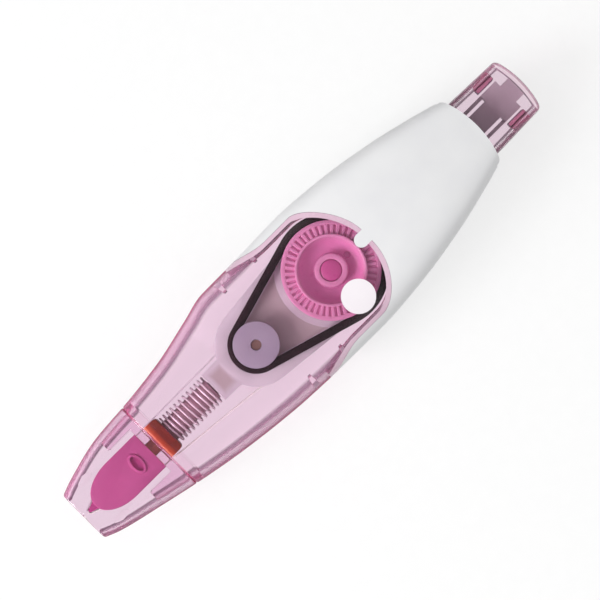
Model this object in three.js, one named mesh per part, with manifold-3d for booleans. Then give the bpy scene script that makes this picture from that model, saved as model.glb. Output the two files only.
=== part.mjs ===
// Pen-type correction tape with a knock button, in millimetres.
// x runs from the front edge to the button, y towards the finger rest, z up from the flat belly.

import Module from "manifold-3d";
import * as THREE from "three";
import { mergeVertices } from "three/addons/utils/BufferGeometryUtils.js";

const wasm = await Module();
wasm.setup();

// Clearances and walls
const FIT_GAP = 0.3;
const SEAM_GAP = 0.2;
const SHELL_WALL = 1.4;
const NOSE_WALL = 1.05;
const CUT_MARGIN = 1;

// Heights inside the housing, from the belly up
const RAIL_HEIGHT = 1.0;
const TRAY_FLOOR = 1.0;
const REEL_FLANGE = 0.6;
const TAPE_WIDTH = 6.0;
const DECK_THICKNESS = 0.9;
const PULLEY_FLANGE = 0.5;
const BELT_DIAMETER = 1.8;
const RIM_HEIGHT = 0.6;
const WHEEL_HEADROOM = 1.2;

const TRAY_Z = SHELL_WALL + RAIL_HEIGHT + FIT_GAP;
const REEL_Z = TRAY_Z + TRAY_FLOOR + FIT_GAP;
const TAPE_Z = REEL_Z + REEL_FLANGE + FIT_GAP;
const TAPE_TOP = TAPE_Z + TAPE_WIDTH;
const TRAY_TOP = TAPE_TOP + FIT_GAP;
const DECK_Z = TRAY_TOP + SEAM_GAP;
const DECK_TOP = DECK_Z + DECK_THICKNESS;
const PULLEY_Z = DECK_TOP + FIT_GAP;
const GROOVE_Z = PULLEY_Z + PULLEY_FLANGE;
const GROOVE_TOP = GROOVE_Z + BELT_DIAMETER;
const WHEEL_FACE_Z = GROOVE_TOP + PULLEY_FLANGE;
const WHEEL_TOP = WHEEL_FACE_Z + RIM_HEIGHT;
const BODY_HEIGHT = WHEEL_TOP + WHEEL_HEADROOM + SHELL_WALL;
const HEAD_Z = TAPE_Z + TAPE_WIDTH / 2;
const SPLIT_Z = BODY_HEIGHT / 2;

// Reels, wheel and belt, as radii
const SPINDLE_RADIUS = 1.6;
const CORE_RADIUS = 3.9;
const TAPE_ROLL_RADIUS = 9.6;
const FLANGE_LIP = 0.6;
const BELT_LARGE_RADIUS = 11.5;
const BELT_SMALL_RADIUS = 5.3;
const BELT_BITE = 0.2;
const TOOTH_RING_INNER = 7.8;
const TOOTH_RING_OUTER = 9.8;
const TOOTH_COUNT = 45;
const TOOTH_WIDTH = 0.75;
const TOOTH_HEIGHT = 0.6;
const TOOTH_ROOT = 0.1;
const RIM_WIDTH = 0.5;
const HUB_RING_RADIUS = 3.6;
const HUB_RECESS_RADIUS = 2.4;
const HUB_SLEEVE_RADIUS = 3.1;
const HUB_RECESS_DEPTH = 1.0;
const DISH_FLOOR = 0.6;
const DIMPLE_RADIUS = 0.8;
const DIMPLE_OFFSET = 4.8;
const CLUTCH_DEPTH = 1.6;
const CLUTCH_RADIUS = 3.0;
const TAKEUP_SPINDLE_RADIUS = 1.1;
const TAKEUP_CORE_RADIUS = 2.5;
const TAKEUP_SLEEVE_RADIUS = 2.1;
const USED_RIBBON_RADIUS = 4.3;
const TAKEUP_FLANGE_RADIUS = 5.0;
const TAKEUP_CAP_RADIUS = 5.05;
const TAKEUP_CHAMBER_RADIUS = 8.2;
const CHAMBER_CLEARANCE = 0.4;
const TRAY_WALL = 0.8;
const BELT_SIDE_ROOM = 2.6;
const FIELD_DEPTH = 0.3;
const FIELD_INSET = 0.2;
const WHEEL_STEP_RADIUS = 12.3;

const SUPPLY_FLANGE_RADIUS = TAPE_ROLL_RADIUS + FLANGE_LIP;
const SUPPLY_CHAMBER_RADIUS = SUPPLY_FLANGE_RADIUS + CHAMBER_CLEARANCE;
const GROOVE_DEPTH = BELT_DIAMETER / 2 + FIT_GAP;
const FLANGE_OVER_BELT = BELT_DIAMETER / 2 - BELT_BITE;
const WHEEL_RADIUS = BELT_LARGE_RADIUS - FLANGE_OVER_BELT;
const BODY_HALF_WIDTH = BELT_LARGE_RADIUS + BELT_DIAMETER / 2 + BELT_SIDE_ROOM + SHELL_WALL;

// Head, shaft and spring
const HEAD_LENGTH = 19.3;
const HEAD_RECESS = 1.1;
const HEAD_HALF_WIDTH = 4.85;
const HEAD_PLATE = 0.6;
const HEAD_CLEARANCE = 0.45;
const PLATE_NOSE_LENGTH = 8.0;
const PLATE_SETBACK = 2.3;
const PLATE_BLUNTNESS = 0.02;
const WEDGE_STEP = 2.1;
const TAPE_THICKNESS = 0.25;
const TAPE_SEAT_GAP = 0.2;
const PLATE_OVERHANG = 0.75;
const TIP_RADIUS = 0.45;
const TIP_LENGTH = 3.0;
const TIP_ROOT_HALF_WIDTH = 1.4;
const BOSS_HALF_LENGTH = 1.5;
const BOSS_HALF_WIDTH = 2.5;
const BOSS_OFFSET = 4.3;
const BOSS_HEIGHT = 0.35;
const BOSS_RIM = 0.7;
const SHAFT_RADIUS = 1.7;
const SLEEVE_RADIUS = 2.5;
const NECK_LENGTH = 1.8;
const SEAT_INSET = 0.6;
const SEAT_LENGTH = 3.0;
const SEAT_HALF_WIDTH = 4.3;
const SEAT_HALF_HEIGHT = 4.2;
const SPRING_LENGTH = 12.9;
const SPRING_RADIUS = 3.37;
const SPRING_WIRE = 0.45;
const SPRING_TURNS = 11;
const SPRING_STEPS = 8;
const SPRING_WIRE_SIDES = 5;
const BLOCK_HALF_WIDTH = 3.75;
const BLOCK_DEPTH = 5.4;
const SHAFT_BITE = 2.8;
const BLOCK_RIM = 0.6;
const BLOCK_RECESS = 0.6;

// Places along x
const BLOCK_TO_TAKEUP = 13.0;
const REEL_SPACING = 22.6;
const SUPPLY_TO_COVER_END = 44.0;
const BUTTON_REACH = 13.7;
const STROKE = 7.0;

const TIP_X = HEAD_RECESS;
const HEAD_BACK_X = TIP_X + HEAD_LENGTH;
const NOSE_LENGTH = HEAD_BACK_X + NECK_LENGTH;
const SEAT_X = NOSE_LENGTH + SEAT_INSET;
const SPRING_X = SEAT_X + SEAT_LENGTH + FIT_GAP;
const BLOCK_X = SPRING_X + SPRING_LENGTH + FIT_GAP;
const TAKEUP_X = BLOCK_X + BLOCK_TO_TAKEUP;
const SUPPLY_X = TAKEUP_X + REEL_SPACING;
const TRAY_END_X = SUPPLY_X + SUPPLY_CHAMBER_RADIUS + TRAY_WALL;
const COVER_END_X = SUPPLY_X + SUPPLY_TO_COVER_END;
const LENGTH = COVER_END_X + BUTTON_REACH;

// Housing outline, as stations that the skin passes through
const FRONT_HALF_WIDTH = HEAD_HALF_WIDTH + HEAD_CLEARANCE + NOSE_WALL;
const HEAD_HALF_HEIGHT = TAPE_WIDTH / 2 + FIT_GAP + HEAD_PLATE;
const FRONT_HALF_HEIGHT = HEAD_HALF_HEIGHT + HEAD_CLEARANCE + NOSE_WALL;
const BELLY_FLAT = -0.011;
const STATION_STEP = 5.2;
const SECTION_SIDES = 32;

// Sides of the round pieces
const SMALL_SIDES = 22;
const REEL_SIDES = 30;
const ROLL_SIDES = 40;
const SHAFT_SIDES = 16;
const BELT_ARC_STEPS = 10;

// One station of the skin: its place along x, its half widths towards +y and -y as shares of
// the greatest half width, and its lowest and highest z as shares of the height
function station(at, left, right, low, high) {
  return {
    at,
    left: left * BODY_HALF_WIDTH,
    right: right * BODY_HALF_WIDTH,
    low: low * BODY_HEIGHT,
    high: high * BODY_HEIGHT,
  };
}

const STATIONS = [
  {
    at: 0,
    left: FRONT_HALF_WIDTH,
    right: FRONT_HALF_WIDTH,
    low: HEAD_Z - FRONT_HALF_HEIGHT,
    high: HEAD_Z + FRONT_HALF_HEIGHT,
  },
  station(0.153 * NOSE_LENGTH, 0.463, 0.47, 0.129, 0.726),
  station(0.622 * NOSE_LENGTH, 0.616, 0.622, 0.097, 0.769),
  station(1.081 * NOSE_LENGTH, 0.665, 0.756, 0.065, 0.817),
  station(1.55 * NOSE_LENGTH, 0.744, 0.866, 0.032, 0.876),
  station(TAKEUP_X - 0.332 * REEL_SPACING, 0.884, 0.942, 0.008, 0.941),
  station(TAKEUP_X - 0.031 * REEL_SPACING, 0.976, 0.976, 0, 0.973),
  station(TAKEUP_X + 0.425 * REEL_SPACING, 0.982, 0.997, BELLY_FLAT, 0.995),
  station(SUPPLY_X, 1, 1, BELLY_FLAT, 1),
  station(SUPPLY_X + 0.255 * SUPPLY_TO_COVER_END, 0.951, 0.951, 0, 0.989),
  station(SUPPLY_X + 0.568 * SUPPLY_TO_COVER_END, 0.823, 0.823, 0.043, 0.946),
  station(SUPPLY_X + 0.802 * SUPPLY_TO_COVER_END, 0.677, 0.677, 0.108, 0.887),
  station(SUPPLY_X + 0.918 * SUPPLY_TO_COVER_END, 0.591, 0.591, 0.14, 0.855),
  station(COVER_END_X, 0.524, 0.524, 0.167, 0.828),
];

// How square the section is: 2 is an ellipse
const FRONT_SQUARENESS = 7;
const NOSE_SQUARENESS = 4.5;
const BODY_SQUARENESS = 3.8;

// Seam between the clear barrel and the white cover
const STRIP_START = 15.2;
const WAIST_START = 5.8;
const WAIST_CURVE = 3.2;
const SHOULDER_BEHIND_AXIS = 1.3;
const SHOULDER_HALF_WIDTH = 14.45;
const SHOULDER_CURVE = 3.4;
const WINDOW_BEHIND_AXIS = 10.7;
const WINDOW_BULGE = 7.0;
const TAB_LENGTH = 3.2;
const TAB_HALF_WIDTH = 1.6;
const LAP = 3;
const LAP_SKIN = 0.7;
const SPIGOT_LENGTH = 2;
const SPIGOT_WALL = 0.75;
const TONGUE_LENGTH = 8.4;
const TONGUE_FROM_AXIS = 6.3;
const PAD_X = 5.9;
const PAD_FROM_AXIS = 5.6;
const PAD_HALF_LENGTH = 2.0;
const PAD_HALF_WIDTH = 0.75;
const PAD_DEPTH = 0.4;
const PAD_STEPS = 7;
const WEB_PLACES = [1.8, 11.0];
const WEB_LENGTH = 2.2;
const WEB_SLANT = 1.2;
const WEB_REACH = 2.2;
const WEB_DEPTH = 4;
const COVER_END_BULGE = 1.8;
const COVER_CORNER = 1;
const ROD_REST_PLACES = [5, 13];
const REAR_WALL = 1.5;

// Button and rod
const BUTTON_HALF_WIDTH = 7.5;
const BUTTON_HALF_HEIGHT = 4.1;
const BUTTON_TAPER = 0.4;
const BUTTON_ROUND = 1.0;
const BUTTON_BULGE = 1.2;
const BUTTON_FLAT = 3.5;
const BUTTON_WALL = 1.1;
const BUTTON_TOP_WALL = 1.3;
const BUTTON_INSIDE = 6.4;
const BUTTON_SQUARENESS = 6;
const LIP_LENGTH = 1.9;
const LIP_HALF_WIDTH = 5.5;
const LIP_HEIGHT = 0.6;
const SIDE_RIB_LENGTH = 4.6;
const SIDE_RIB_WIDTH = 1.9;
const SIDE_RIB_FROM_END = 8.6;
const ROD_HALF_WIDTH = 2.4;
const ROD_BLOCK_HALF_WIDTH = 3.9;
const ROD_ARM_WIDTH = 0.8;
const ROD_ARM_HALF_HEIGHT = 1.1;
const ROD_HALF_HEIGHT = 2.1;
const ROD_FLANGE = 0.9;
const ROD_RIB_COUNT = 5;
const FOOT_LENGTH = 1.4;
const FOOT_HALF_WIDTH = 5;
const FOOT_HALF_HEIGHT = 3.4;
const RIB_THICKNESS = 1.2;
const RAIL_OFFSET = 6;
const RAIL_WIDTH = 1.2;

const BUTTON_Z = (STATIONS.at(-1).low + STATIONS.at(-1).high) / 2;
const BUTTON_START_X = COVER_END_X - BUTTON_INSIDE;
const ROD_X = TRAY_END_X + FIT_GAP;

// Smooth curve through [place, value] points, with no overshoot between them
function smoothThrough(points) {
  const steepness = points.slice(1).map(([x, y], i) => (y - points[i][1]) / (x - points[i][0]));
  const slopes = points.map((_, i) => {
    const before = steepness[Math.max(i - 1, 0)];
    const after = steepness[Math.min(i, steepness.length - 1)];
    return before * after > 0 ? (2 * before * after) / (before + after) : 0;
  });
  return (x) => {
    const last = points.length - 2;
    const next = points.findIndex(([place]) => place > x);
    const i = next < 0 ? last : Math.max(next - 1, 0);
    const [x0, y0] = points[i];
    const [x1, y1] = points[i + 1];
    const width = x1 - x0;
    const t = THREE.MathUtils.clamp((x - x0) / width, 0, 1);
    const u = 1 - t;
    const held = y0 * u * u * (1 + 2 * t) + y1 * t * t * (3 - 2 * t);
    return held + slopes[i] * width * t * u * u - slopes[i + 1] * width * t * t * u;
  };
}

const leftAt = smoothThrough(STATIONS.map((s) => [s.at, s.left]));
const rightAt = smoothThrough(STATIONS.map((s) => [s.at, s.right]));
const lowAt = smoothThrough(STATIONS.map((s) => [s.at, s.low]));
const highAt = smoothThrough(STATIONS.map((s) => [s.at, s.high]));
const squarenessAt = smoothThrough([
  [0, FRONT_SQUARENESS],
  [NOSE_LENGTH, NOSE_SQUARENESS],
  [TAKEUP_X, BODY_SQUARENESS],
  [COVER_END_X, BODY_SQUARENESS],
]);

// A geometry as a solid that can be cut and joined
function solid(geometry) {
  geometry.deleteAttribute("normal");
  geometry.deleteAttribute("uv");
  const merged = mergeVertices(geometry, 1e-4);
  const vertProperties = new Float32Array(merged.attributes.position.array);
  const triVerts = new Uint32Array(merged.index.array);
  return new wasm.Manifold(new wasm.Mesh({ numProp: 3, vertProperties, triVerts }));
}

function geometryOf(shape) {
  const mesh = shape.getMesh();
  const geometry = new THREE.BufferGeometry();
  geometry.setAttribute("position", new THREE.Float32BufferAttribute(mesh.vertProperties, 3));
  geometry.setIndex([...mesh.triVerts]);
  geometry.computeVertexNormals();
  return geometry;
}

function joined(pieces) {
  return pieces.reduce((whole, piece) => whole.add(piece));
}

function box(x0, x1, y0, y1, z0, z1) {
  const geometry = new THREE.BoxGeometry(x1 - x0, y1 - y0, z1 - z0);
  geometry.translate((x0 + x1) / 2, (y0 + y1) / 2, (z0 + z1) / 2);
  return solid(geometry);
}

function extruded(shape, z0, z1, curveSegments = 12) {
  const depth = z1 - z0;
  const geometry = new THREE.ExtrudeGeometry(shape, { depth, bevelEnabled: false, curveSegments });
  geometry.translate(0, 0, z0);
  return solid(geometry);
}

// A profile of [radius, z] points turned round the z axis
function turned(profile, segments) {
  const points = profile.map(([radius, z]) => new THREE.Vector2(radius, z));
  points.push(points[0].clone());
  const geometry = new THREE.LatheGeometry(points, segments);
  geometry.rotateX(Math.PI / 2);
  return solid(geometry);
}

function upright(radius, z0, z1, segments = SMALL_SIDES) {
  return turned([[0, z0], [radius, z0], [radius, z1], [0, z1]], segments);
}

function lengthwise(radius, x0, x1, y, z) {
  const geometry = new THREE.CylinderGeometry(radius, radius, x1 - x0, SHAFT_SIDES);
  geometry.rotateZ(Math.PI / 2);
  geometry.translate((x0 + x1) / 2, y, z);
  return solid(geometry);
}

// A skin over rings of points, one ring for each place along x. Each end is closed by strips
// between the upper and lower points of its ring.
function loft(places, ringAt) {
  const rings = places.map(ringAt);
  const sides = rings[0].length;
  const positions = rings.flat().flatMap((point) => point.toArray());
  const index = [];
  for (let i = 0; i + 1 < rings.length; i += 1) {
    for (let j = 0; j < sides; j += 1) {
      const here = i * sides + j;
      const beside = i * sides + ((j + 1) % sides);
      index.push(here, beside, here + sides, beside, beside + sides, here + sides);
    }
  }
  const end = (rings.length - 1) * sides;
  for (let j = 0; j + 1 < sides / 2; j += 1) {
    const [a, b, c, d] = [j, j + 1, sides - 2 - j, sides - 1 - j];
    index.push(a, c, b, a, d, c);
    index.push(end + a, end + b, end + c, end + a, end + c, end + d);
  }
  const geometry = new THREE.BufferGeometry();
  geometry.setAttribute("position", new THREE.Float32BufferAttribute(positions, 3));
  geometry.setIndex(index);
  return solid(geometry);
}

// A rounded rectangle in the yz plane
function roundedRing(x, left, right, low, high, squareness, floor) {
  const middle = (low + high) / 2;
  const half = (high - low) / 2;
  return Array.from({ length: SECTION_SIDES }, (_, i) => {
    const angle = ((i + 0.5) / SECTION_SIDES) * 2 * Math.PI;
    const across = Math.cos(angle);
    const up = Math.sin(angle);
    const y = Math.sign(across) * Math.abs(across) ** (2 / squareness) * (across > 0 ? left : right);
    const z = middle + Math.sign(up) * Math.abs(up) ** (2 / squareness) * half;
    return new THREE.Vector3(x, y, Math.max(z, floor));
  });
}

function evenly(x0, x1, step) {
  const count = Math.ceil((x1 - x0) / step);
  return Array.from({ length: count + 1 }, (_, i) => x0 + ((x1 - x0) * i) / count);
}

// The housing's skin from x0 to x1, moved inwards by inset
function skin(inset, x0, x1) {
  return loft(evenly(x0, x1, STATION_STEP), (x) =>
    roundedRing(
      x,
      leftAt(x) - inset,
      rightAt(x) - inset,
      lowAt(x) + inset,
      highAt(x) - inset,
      squarenessAt(x),
      inset,
    ),
  );
}

// The outline round two circles on the x axis and the straight runs between them
function reelOutline(takeupRadius, supplyRadius) {
  const lean = Math.acos((takeupRadius - supplyRadius) / REEL_SPACING);
  const shape = new THREE.Shape();
  shape.absarc(SUPPLY_X, 0, supplyRadius, -lean, lean, false);
  shape.absarc(TAKEUP_X, 0, takeupRadius, lean, 2 * Math.PI - lean, false);
  shape.closePath();
  return shape;
}

// The plan area that the white cover takes, made larger all round by grow
function coverPlan(grow, withTab) {
  const far = LENGTH + BODY_HALF_WIDTH;
  const wide = 2 * BODY_HALF_WIDTH;
  const stripX = SUPPLY_X - STRIP_START - grow;
  const stripY = BODY_HALF_WIDTH - grow;
  const waistX = SUPPLY_X - WAIST_START - grow;
  const shoulderX = SUPPLY_X + SHOULDER_BEHIND_AXIS - grow;
  const shoulderY = SHOULDER_HALF_WIDTH - grow;
  const windowX = SUPPLY_X + WINDOW_BEHIND_AXIS - grow;
  const bendX = shoulderX + SHOULDER_CURVE;
  const flareY = (stripY * 3 + shoulderY) / 4;
  const tabY = withTab ? TAB_HALF_WIDTH + grow : 0;
  const tabX = windowX - TAB_LENGTH + TAB_HALF_WIDTH;
  const shape = new THREE.Shape();
  shape.moveTo(far, -wide);
  shape.lineTo(far, wide);
  shape.lineTo(stripX, wide);
  shape.lineTo(stripX, stripY);
  shape.bezierCurveTo(
    stripX + WAIST_CURVE,
    flareY,
    waistX - WAIST_CURVE,
    shoulderY,
    waistX,
    shoulderY,
  );
  shape.lineTo(shoulderX, shoulderY);
  shape.bezierCurveTo(bendX, shoulderY, windowX, WINDOW_BULGE, windowX, tabY);
  if (withTab) {
    shape.lineTo(tabX, tabY);
    shape.absarc(tabX, 0, tabY, Math.PI / 2, 1.5 * Math.PI, false);
    shape.lineTo(windowX, -tabY);
  }
  shape.bezierCurveTo(windowX, -WINDOW_BULGE, bendX, -shoulderY, shoulderX, -shoulderY);
  shape.lineTo(waistX, -shoulderY);
  shape.bezierCurveTo(
    waistX - WAIST_CURVE,
    -shoulderY,
    stripX + WAIST_CURVE,
    -flareY,
    stripX,
    -stripY,
  );
  shape.lineTo(stripX, -wide);
  return shape;
}

function throughout(shape) {
  return extruded(shape, -CUT_MARGIN, BODY_HEIGHT + CUT_MARGIN, 5);
}

function upperHalf(shell) {
  const below = box(-CUT_MARGIN, LENGTH, -LENGTH, LENGTH, -LENGTH, SPLIT_Z + SEAM_GAP / 2);
  return shell.subtract(below);
}

function lowerHalf(shell) {
  const above = box(-CUT_MARGIN, LENGTH, -LENGTH, LENGTH, SPLIT_Z - SEAM_GAP / 2, LENGTH);
  return shell.subtract(above);
}

// The open nose, with two low lens-shaped pads under its top that keep the head level
function noseSleeve() {
  const bore = skin(NOSE_WALL, -CUT_MARGIN, NOSE_LENGTH + CUT_MARGIN);
  const padTop = highAt(PAD_X) - NOSE_WALL / 2;
  const pads = [1, -1].map((side) => {
    const lens = new THREE.Shape();
    const y = side * PAD_FROM_AXIS;
    lens.absellipse(PAD_X, y, PAD_HALF_LENGTH, PAD_HALF_WIDTH, 0, 2 * Math.PI, false);
    return extruded(lens, highAt(PAD_X) - NOSE_WALL - PAD_DEPTH, padTop, PAD_STEPS);
  });
  return joined([skin(0, 0, NOSE_LENGTH).subtract(bore), ...pads]);
}

// The clear barrel, the spigot and side tongues that enter the nose, and the lip under the cover
function barrel() {
  const start = NOSE_LENGTH + SEAM_GAP;
  const end = SUPPLY_X + WINDOW_BEHIND_AXIS + LAP;
  const shell = skin(0, start, end).subtract(skin(SHELL_WALL, start - CUT_MARGIN, end + CUT_MARGIN));
  const spigotInset = NOSE_WALL + FIT_GAP;
  const root = skin(SHELL_WALL / 2, start, start + SPIGOT_LENGTH);
  const spigot = skin(spigotInset, NOSE_LENGTH - SPIGOT_LENGTH, start + SPIGOT_LENGTH);
  const bore = skin(spigotInset + SPIGOT_WALL, NOSE_LENGTH - 2 * SPIGOT_LENGTH, start + 2 * SPIGOT_LENGTH);
  const tongues = skin(spigotInset, NOSE_LENGTH - TONGUE_LENGTH, start + SPIGOT_LENGTH)
    .subtract(skin(spigotInset + SPIGOT_WALL, NOSE_LENGTH - 2 * TONGUE_LENGTH, start + 2 * SPIGOT_LENGTH))
    .subtract(box(0, LENGTH, -TONGUE_FROM_AXIS, TONGUE_FROM_AXIS, -CUT_MARGIN, BODY_HEIGHT));
  const collar = root.add(spigot).subtract(bore).add(tongues);
  const underCover = throughout(coverPlan(SEAM_GAP, true)).subtract(
    skin(LAP_SKIN + SEAM_GAP, NOSE_LENGTH, end + CUT_MARGIN),
  );
  return shell.add(collar).subtract(underCover).subtract(throughout(coverPlan(-LAP, false)));
}

// The cover's plan, ending in a shallow arc round the button
function coverEndPlan() {
  const shape = new THREE.Shape();
  const sideX = COVER_END_X - COVER_END_BULGE;
  const sideY = leftAt(sideX);
  shape.moveTo(0, -2 * BODY_HALF_WIDTH);
  shape.lineTo(sideX - sideY, -2 * BODY_HALF_WIDTH);
  const arcX = sideX + COVER_END_BULGE / 4;
  shape.lineTo(sideX - COVER_CORNER, -sideY);
  shape.quadraticCurveTo(sideX, -sideY, arcX, COVER_CORNER - sideY);
  shape.quadraticCurveTo(COVER_END_X + COVER_END_BULGE / 2, 0, arcX, sideY - COVER_CORNER);
  shape.quadraticCurveTo(sideX, sideY, sideX - COVER_CORNER, sideY);
  shape.lineTo(sideX - sideY, 2 * BODY_HALF_WIDTH);
  shape.lineTo(0, 2 * BODY_HALF_WIDTH);
  return shape;
}

function cover() {
  const start = SUPPLY_X - STRIP_START - CUT_MARGIN;
  const end = COVER_END_X + CUT_MARGIN;
  const hollow = skin(SHELL_WALL, start - CUT_MARGIN, COVER_END_X - COVER_END_BULGE - REAR_WALL);
  const lapHollow = skin(LAP_SKIN, start - CUT_MARGIN, SUPPLY_X + WINDOW_BEHIND_AXIS + 2 * LAP);
  const lapBand = lapHollow.subtract(throughout(coverPlan(-LAP - FIT_GAP, false)));
  const slot = loft([BUTTON_START_X, end], (x) => buttonRing(x, FIT_GAP, 0));
  return skin(0, start, end)
    .intersect(throughout(coverPlan(0, true)))
    .intersect(throughout(coverEndPlan()))
    .subtract(hollow)
    .subtract(lapBand)
    .subtract(slot);
}

function barrelBottom() {
  const rails = [-RAIL_OFFSET, RAIL_OFFSET].map((y) =>
    box(
      TAKEUP_X - TAKEUP_CHAMBER_RADIUS,
      SUPPLY_X + SHOULDER_BEHIND_AXIS,
      y - RAIL_WIDTH / 2,
      y + RAIL_WIDTH / 2,
      SHELL_WALL / 2,
      SHELL_WALL + RAIL_HEIGHT,
    ),
  );
  const seatRib = box(
    SEAT_X,
    SEAT_X + SEAT_LENGTH,
    -SEAT_HALF_WIDTH / 2,
    SEAT_HALF_WIDTH / 2,
    lowAt(SEAT_X) + SHELL_WALL / 2,
    HEAD_Z - SEAT_HALF_HEIGHT - FIT_GAP,
  );
  return joined([lowerHalf(barrel()), ...rails, seatRib]);
}

// Slanted webs inside the sides of the clear barrel
function sideWebs() {
  const core = skin(SHELL_WALL / 2, NOSE_LENGTH, SUPPLY_X);
  return WEB_PLACES.flatMap((behind) =>
    [1, -1].map((side) => {
      const x = TAKEUP_X + behind;
      const wall = leftAt(x);
      const inside = wall - SHELL_WALL - WEB_REACH;
      const plan = new THREE.Shape();
      plan.moveTo(x, side * wall);
      plan.lineTo(x + WEB_SLANT, side * inside);
      plan.lineTo(x + WEB_SLANT + SHELL_WALL / 2, side * inside);
      plan.lineTo(x + WEB_LENGTH, side * wall);
      return extruded(plan, highAt(x) - SHELL_WALL - WEB_DEPTH, BODY_HEIGHT).intersect(core);
    }),
  );
}

function barrelTop() {
  const seatRib = box(
    SEAT_X,
    SEAT_X + SEAT_LENGTH,
    -SEAT_HALF_WIDTH / 2,
    SEAT_HALF_WIDTH / 2,
    HEAD_Z + SEAT_HALF_HEIGHT + FIT_GAP,
    highAt(SEAT_X) - SHELL_WALL / 2,
  );
  return joined([upperHalf(barrel()), seatRib, ...sideWebs()]);
}

function coverTop() {
  return upperHalf(cover());
}

// The lower cover carries the knock rod on two ribs
function coverBottom() {
  const ribs = ROD_REST_PLACES.map((place) => {
    const x = ROD_X + FOOT_LENGTH + place;
    return box(
      x,
      x + RIB_THICKNESS,
      -ROD_HALF_WIDTH,
      ROD_HALF_WIDTH,
      lowAt(x) + SHELL_WALL / 2,
      BUTTON_Z - ROD_HALF_HEIGHT - FIT_GAP,
    );
  });
  return joined([lowerHalf(cover()), ...ribs]);
}

// The orange block round the shaft, open for the shaft and rounded at its sides
function springSeat() {
  const plan = new THREE.Shape();
  const round = SEAT_LENGTH / 3;
  const back = SEAT_X + SEAT_LENGTH;
  plan.moveTo(SEAT_X, -SEAT_HALF_WIDTH);
  plan.lineTo(back - round, -SEAT_HALF_WIDTH);
  plan.quadraticCurveTo(back, -SEAT_HALF_WIDTH, back, round - SEAT_HALF_WIDTH);
  plan.lineTo(back, SEAT_HALF_WIDTH - round);
  plan.quadraticCurveTo(back, SEAT_HALF_WIDTH, back - round, SEAT_HALF_WIDTH);
  plan.lineTo(SEAT_X, SEAT_HALF_WIDTH);
  const block = extruded(plan, HEAD_Z - SEAT_HALF_HEIGHT, HEAD_Z + SEAT_HALF_HEIGHT, 4);
  const bore = lengthwise(
    SLEEVE_RADIUS + FIT_GAP,
    SEAT_X - CUT_MARGIN,
    SEAT_X + SEAT_LENGTH + CUT_MARGIN,
    0,
    HEAD_Z,
  );
  return block.subtract(bore);
}

// One unbroken wire: straight ends, then turns at an even pitch
function springPoints() {
  const straight = SPRING_WIRE;
  const coil = SPRING_LENGTH - 2 * straight;
  const count = SPRING_TURNS * SPRING_STEPS;
  const points = [new THREE.Vector3(SPRING_X, SPRING_RADIUS, HEAD_Z)];
  for (let i = 0; i <= count; i += 1) {
    const angle = (i / SPRING_STEPS) * 2 * Math.PI;
    const x = SPRING_X + straight + (coil * i) / count;
    points.push(
      new THREE.Vector3(x, SPRING_RADIUS * Math.cos(angle), HEAD_Z + SPRING_RADIUS * Math.sin(angle)),
    );
  }
  points.push(new THREE.Vector3(SPRING_X + SPRING_LENGTH, SPRING_RADIUS, HEAD_Z));
  return points;
}

// The least clear gap between points of the wire that are at least half a turn apart
function leastGap(points) {
  let least = Infinity;
  for (let i = 0; i < points.length; i += 1) {
    for (let j = i + SPRING_STEPS / 2; j < points.length; j += 1) {
      least = Math.min(least, points[i].distanceTo(points[j]) - SPRING_WIRE);
    }
  }
  return least;
}

function returnSpring() {
  const points = springPoints();
  console.log(`return_spring: least gap to itself ${leastGap(points).toFixed(2)} mm`);
  const section = new THREE.Shape();
  section.absarc(0, 0, SPRING_WIRE / 2, 0, 2 * Math.PI, false);
  const geometry = new THREE.ExtrudeGeometry(section, {
    steps: points.length - 1,
    extrudePath: new THREE.CatmullRomCurve3(points),
    curveSegments: Math.ceil(SPRING_WIRE_SIDES / 2),
    bevelEnabled: false,
  });
  return solid(geometry);
}

// Half width of the head's side plates at a distance behind their nose
function plateHalfWidth(distance) {
  const share = THREE.MathUtils.clamp(distance / PLATE_NOSE_LENGTH, 0, 1);
  const round = Math.sqrt(1 - (1 - share) ** 2);
  return HEAD_HALF_WIDTH * THREE.MathUtils.lerp(round, 1, PLATE_BLUNTNESS);
}

// Half width of the wedge that the tape bends round
function wedgeHalfWidth(x) {
  const start = TIP_X + TAPE_THICKNESS + TAPE_SEAT_GAP;
  const neck = start + TIP_LENGTH;
  if (x < neck) {
    return THREE.MathUtils.mapLinear(x, start + TIP_RADIUS, neck, TIP_RADIUS, TIP_ROOT_HALF_WIDTH);
  }
  const full = HEAD_HALF_WIDTH - PLATE_OVERHANG;
  const share = THREE.MathUtils.clamp((x - neck) / PLATE_NOSE_LENGTH, 0, 1);
  return THREE.MathUtils.lerp(TIP_ROOT_HALF_WIDTH, full, Math.sin((share * Math.PI) / 2));
}

// Points on the +y side of the wedge, from its back to the tip, moved outwards by offset
function wedgeSide(offset) {
  const start = TIP_X + TAPE_THICKNESS + TAPE_SEAT_GAP + TIP_RADIUS;
  const places = evenly(start, HEAD_BACK_X, WEDGE_STEP).reverse();
  const side = places.map((x) => new THREE.Vector2(x, wedgeHalfWidth(x) + offset));
  const tipSteps = 4;
  for (let i = 1; i <= tipSteps; i += 1) {
    const angle = Math.PI / 2 + (i / tipSteps) * (Math.PI / 2);
    const reach = TIP_RADIUS + offset;
    side.push(new THREE.Vector2(start + reach * Math.cos(angle), reach * Math.sin(angle)));
  }
  return side;
}

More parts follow.
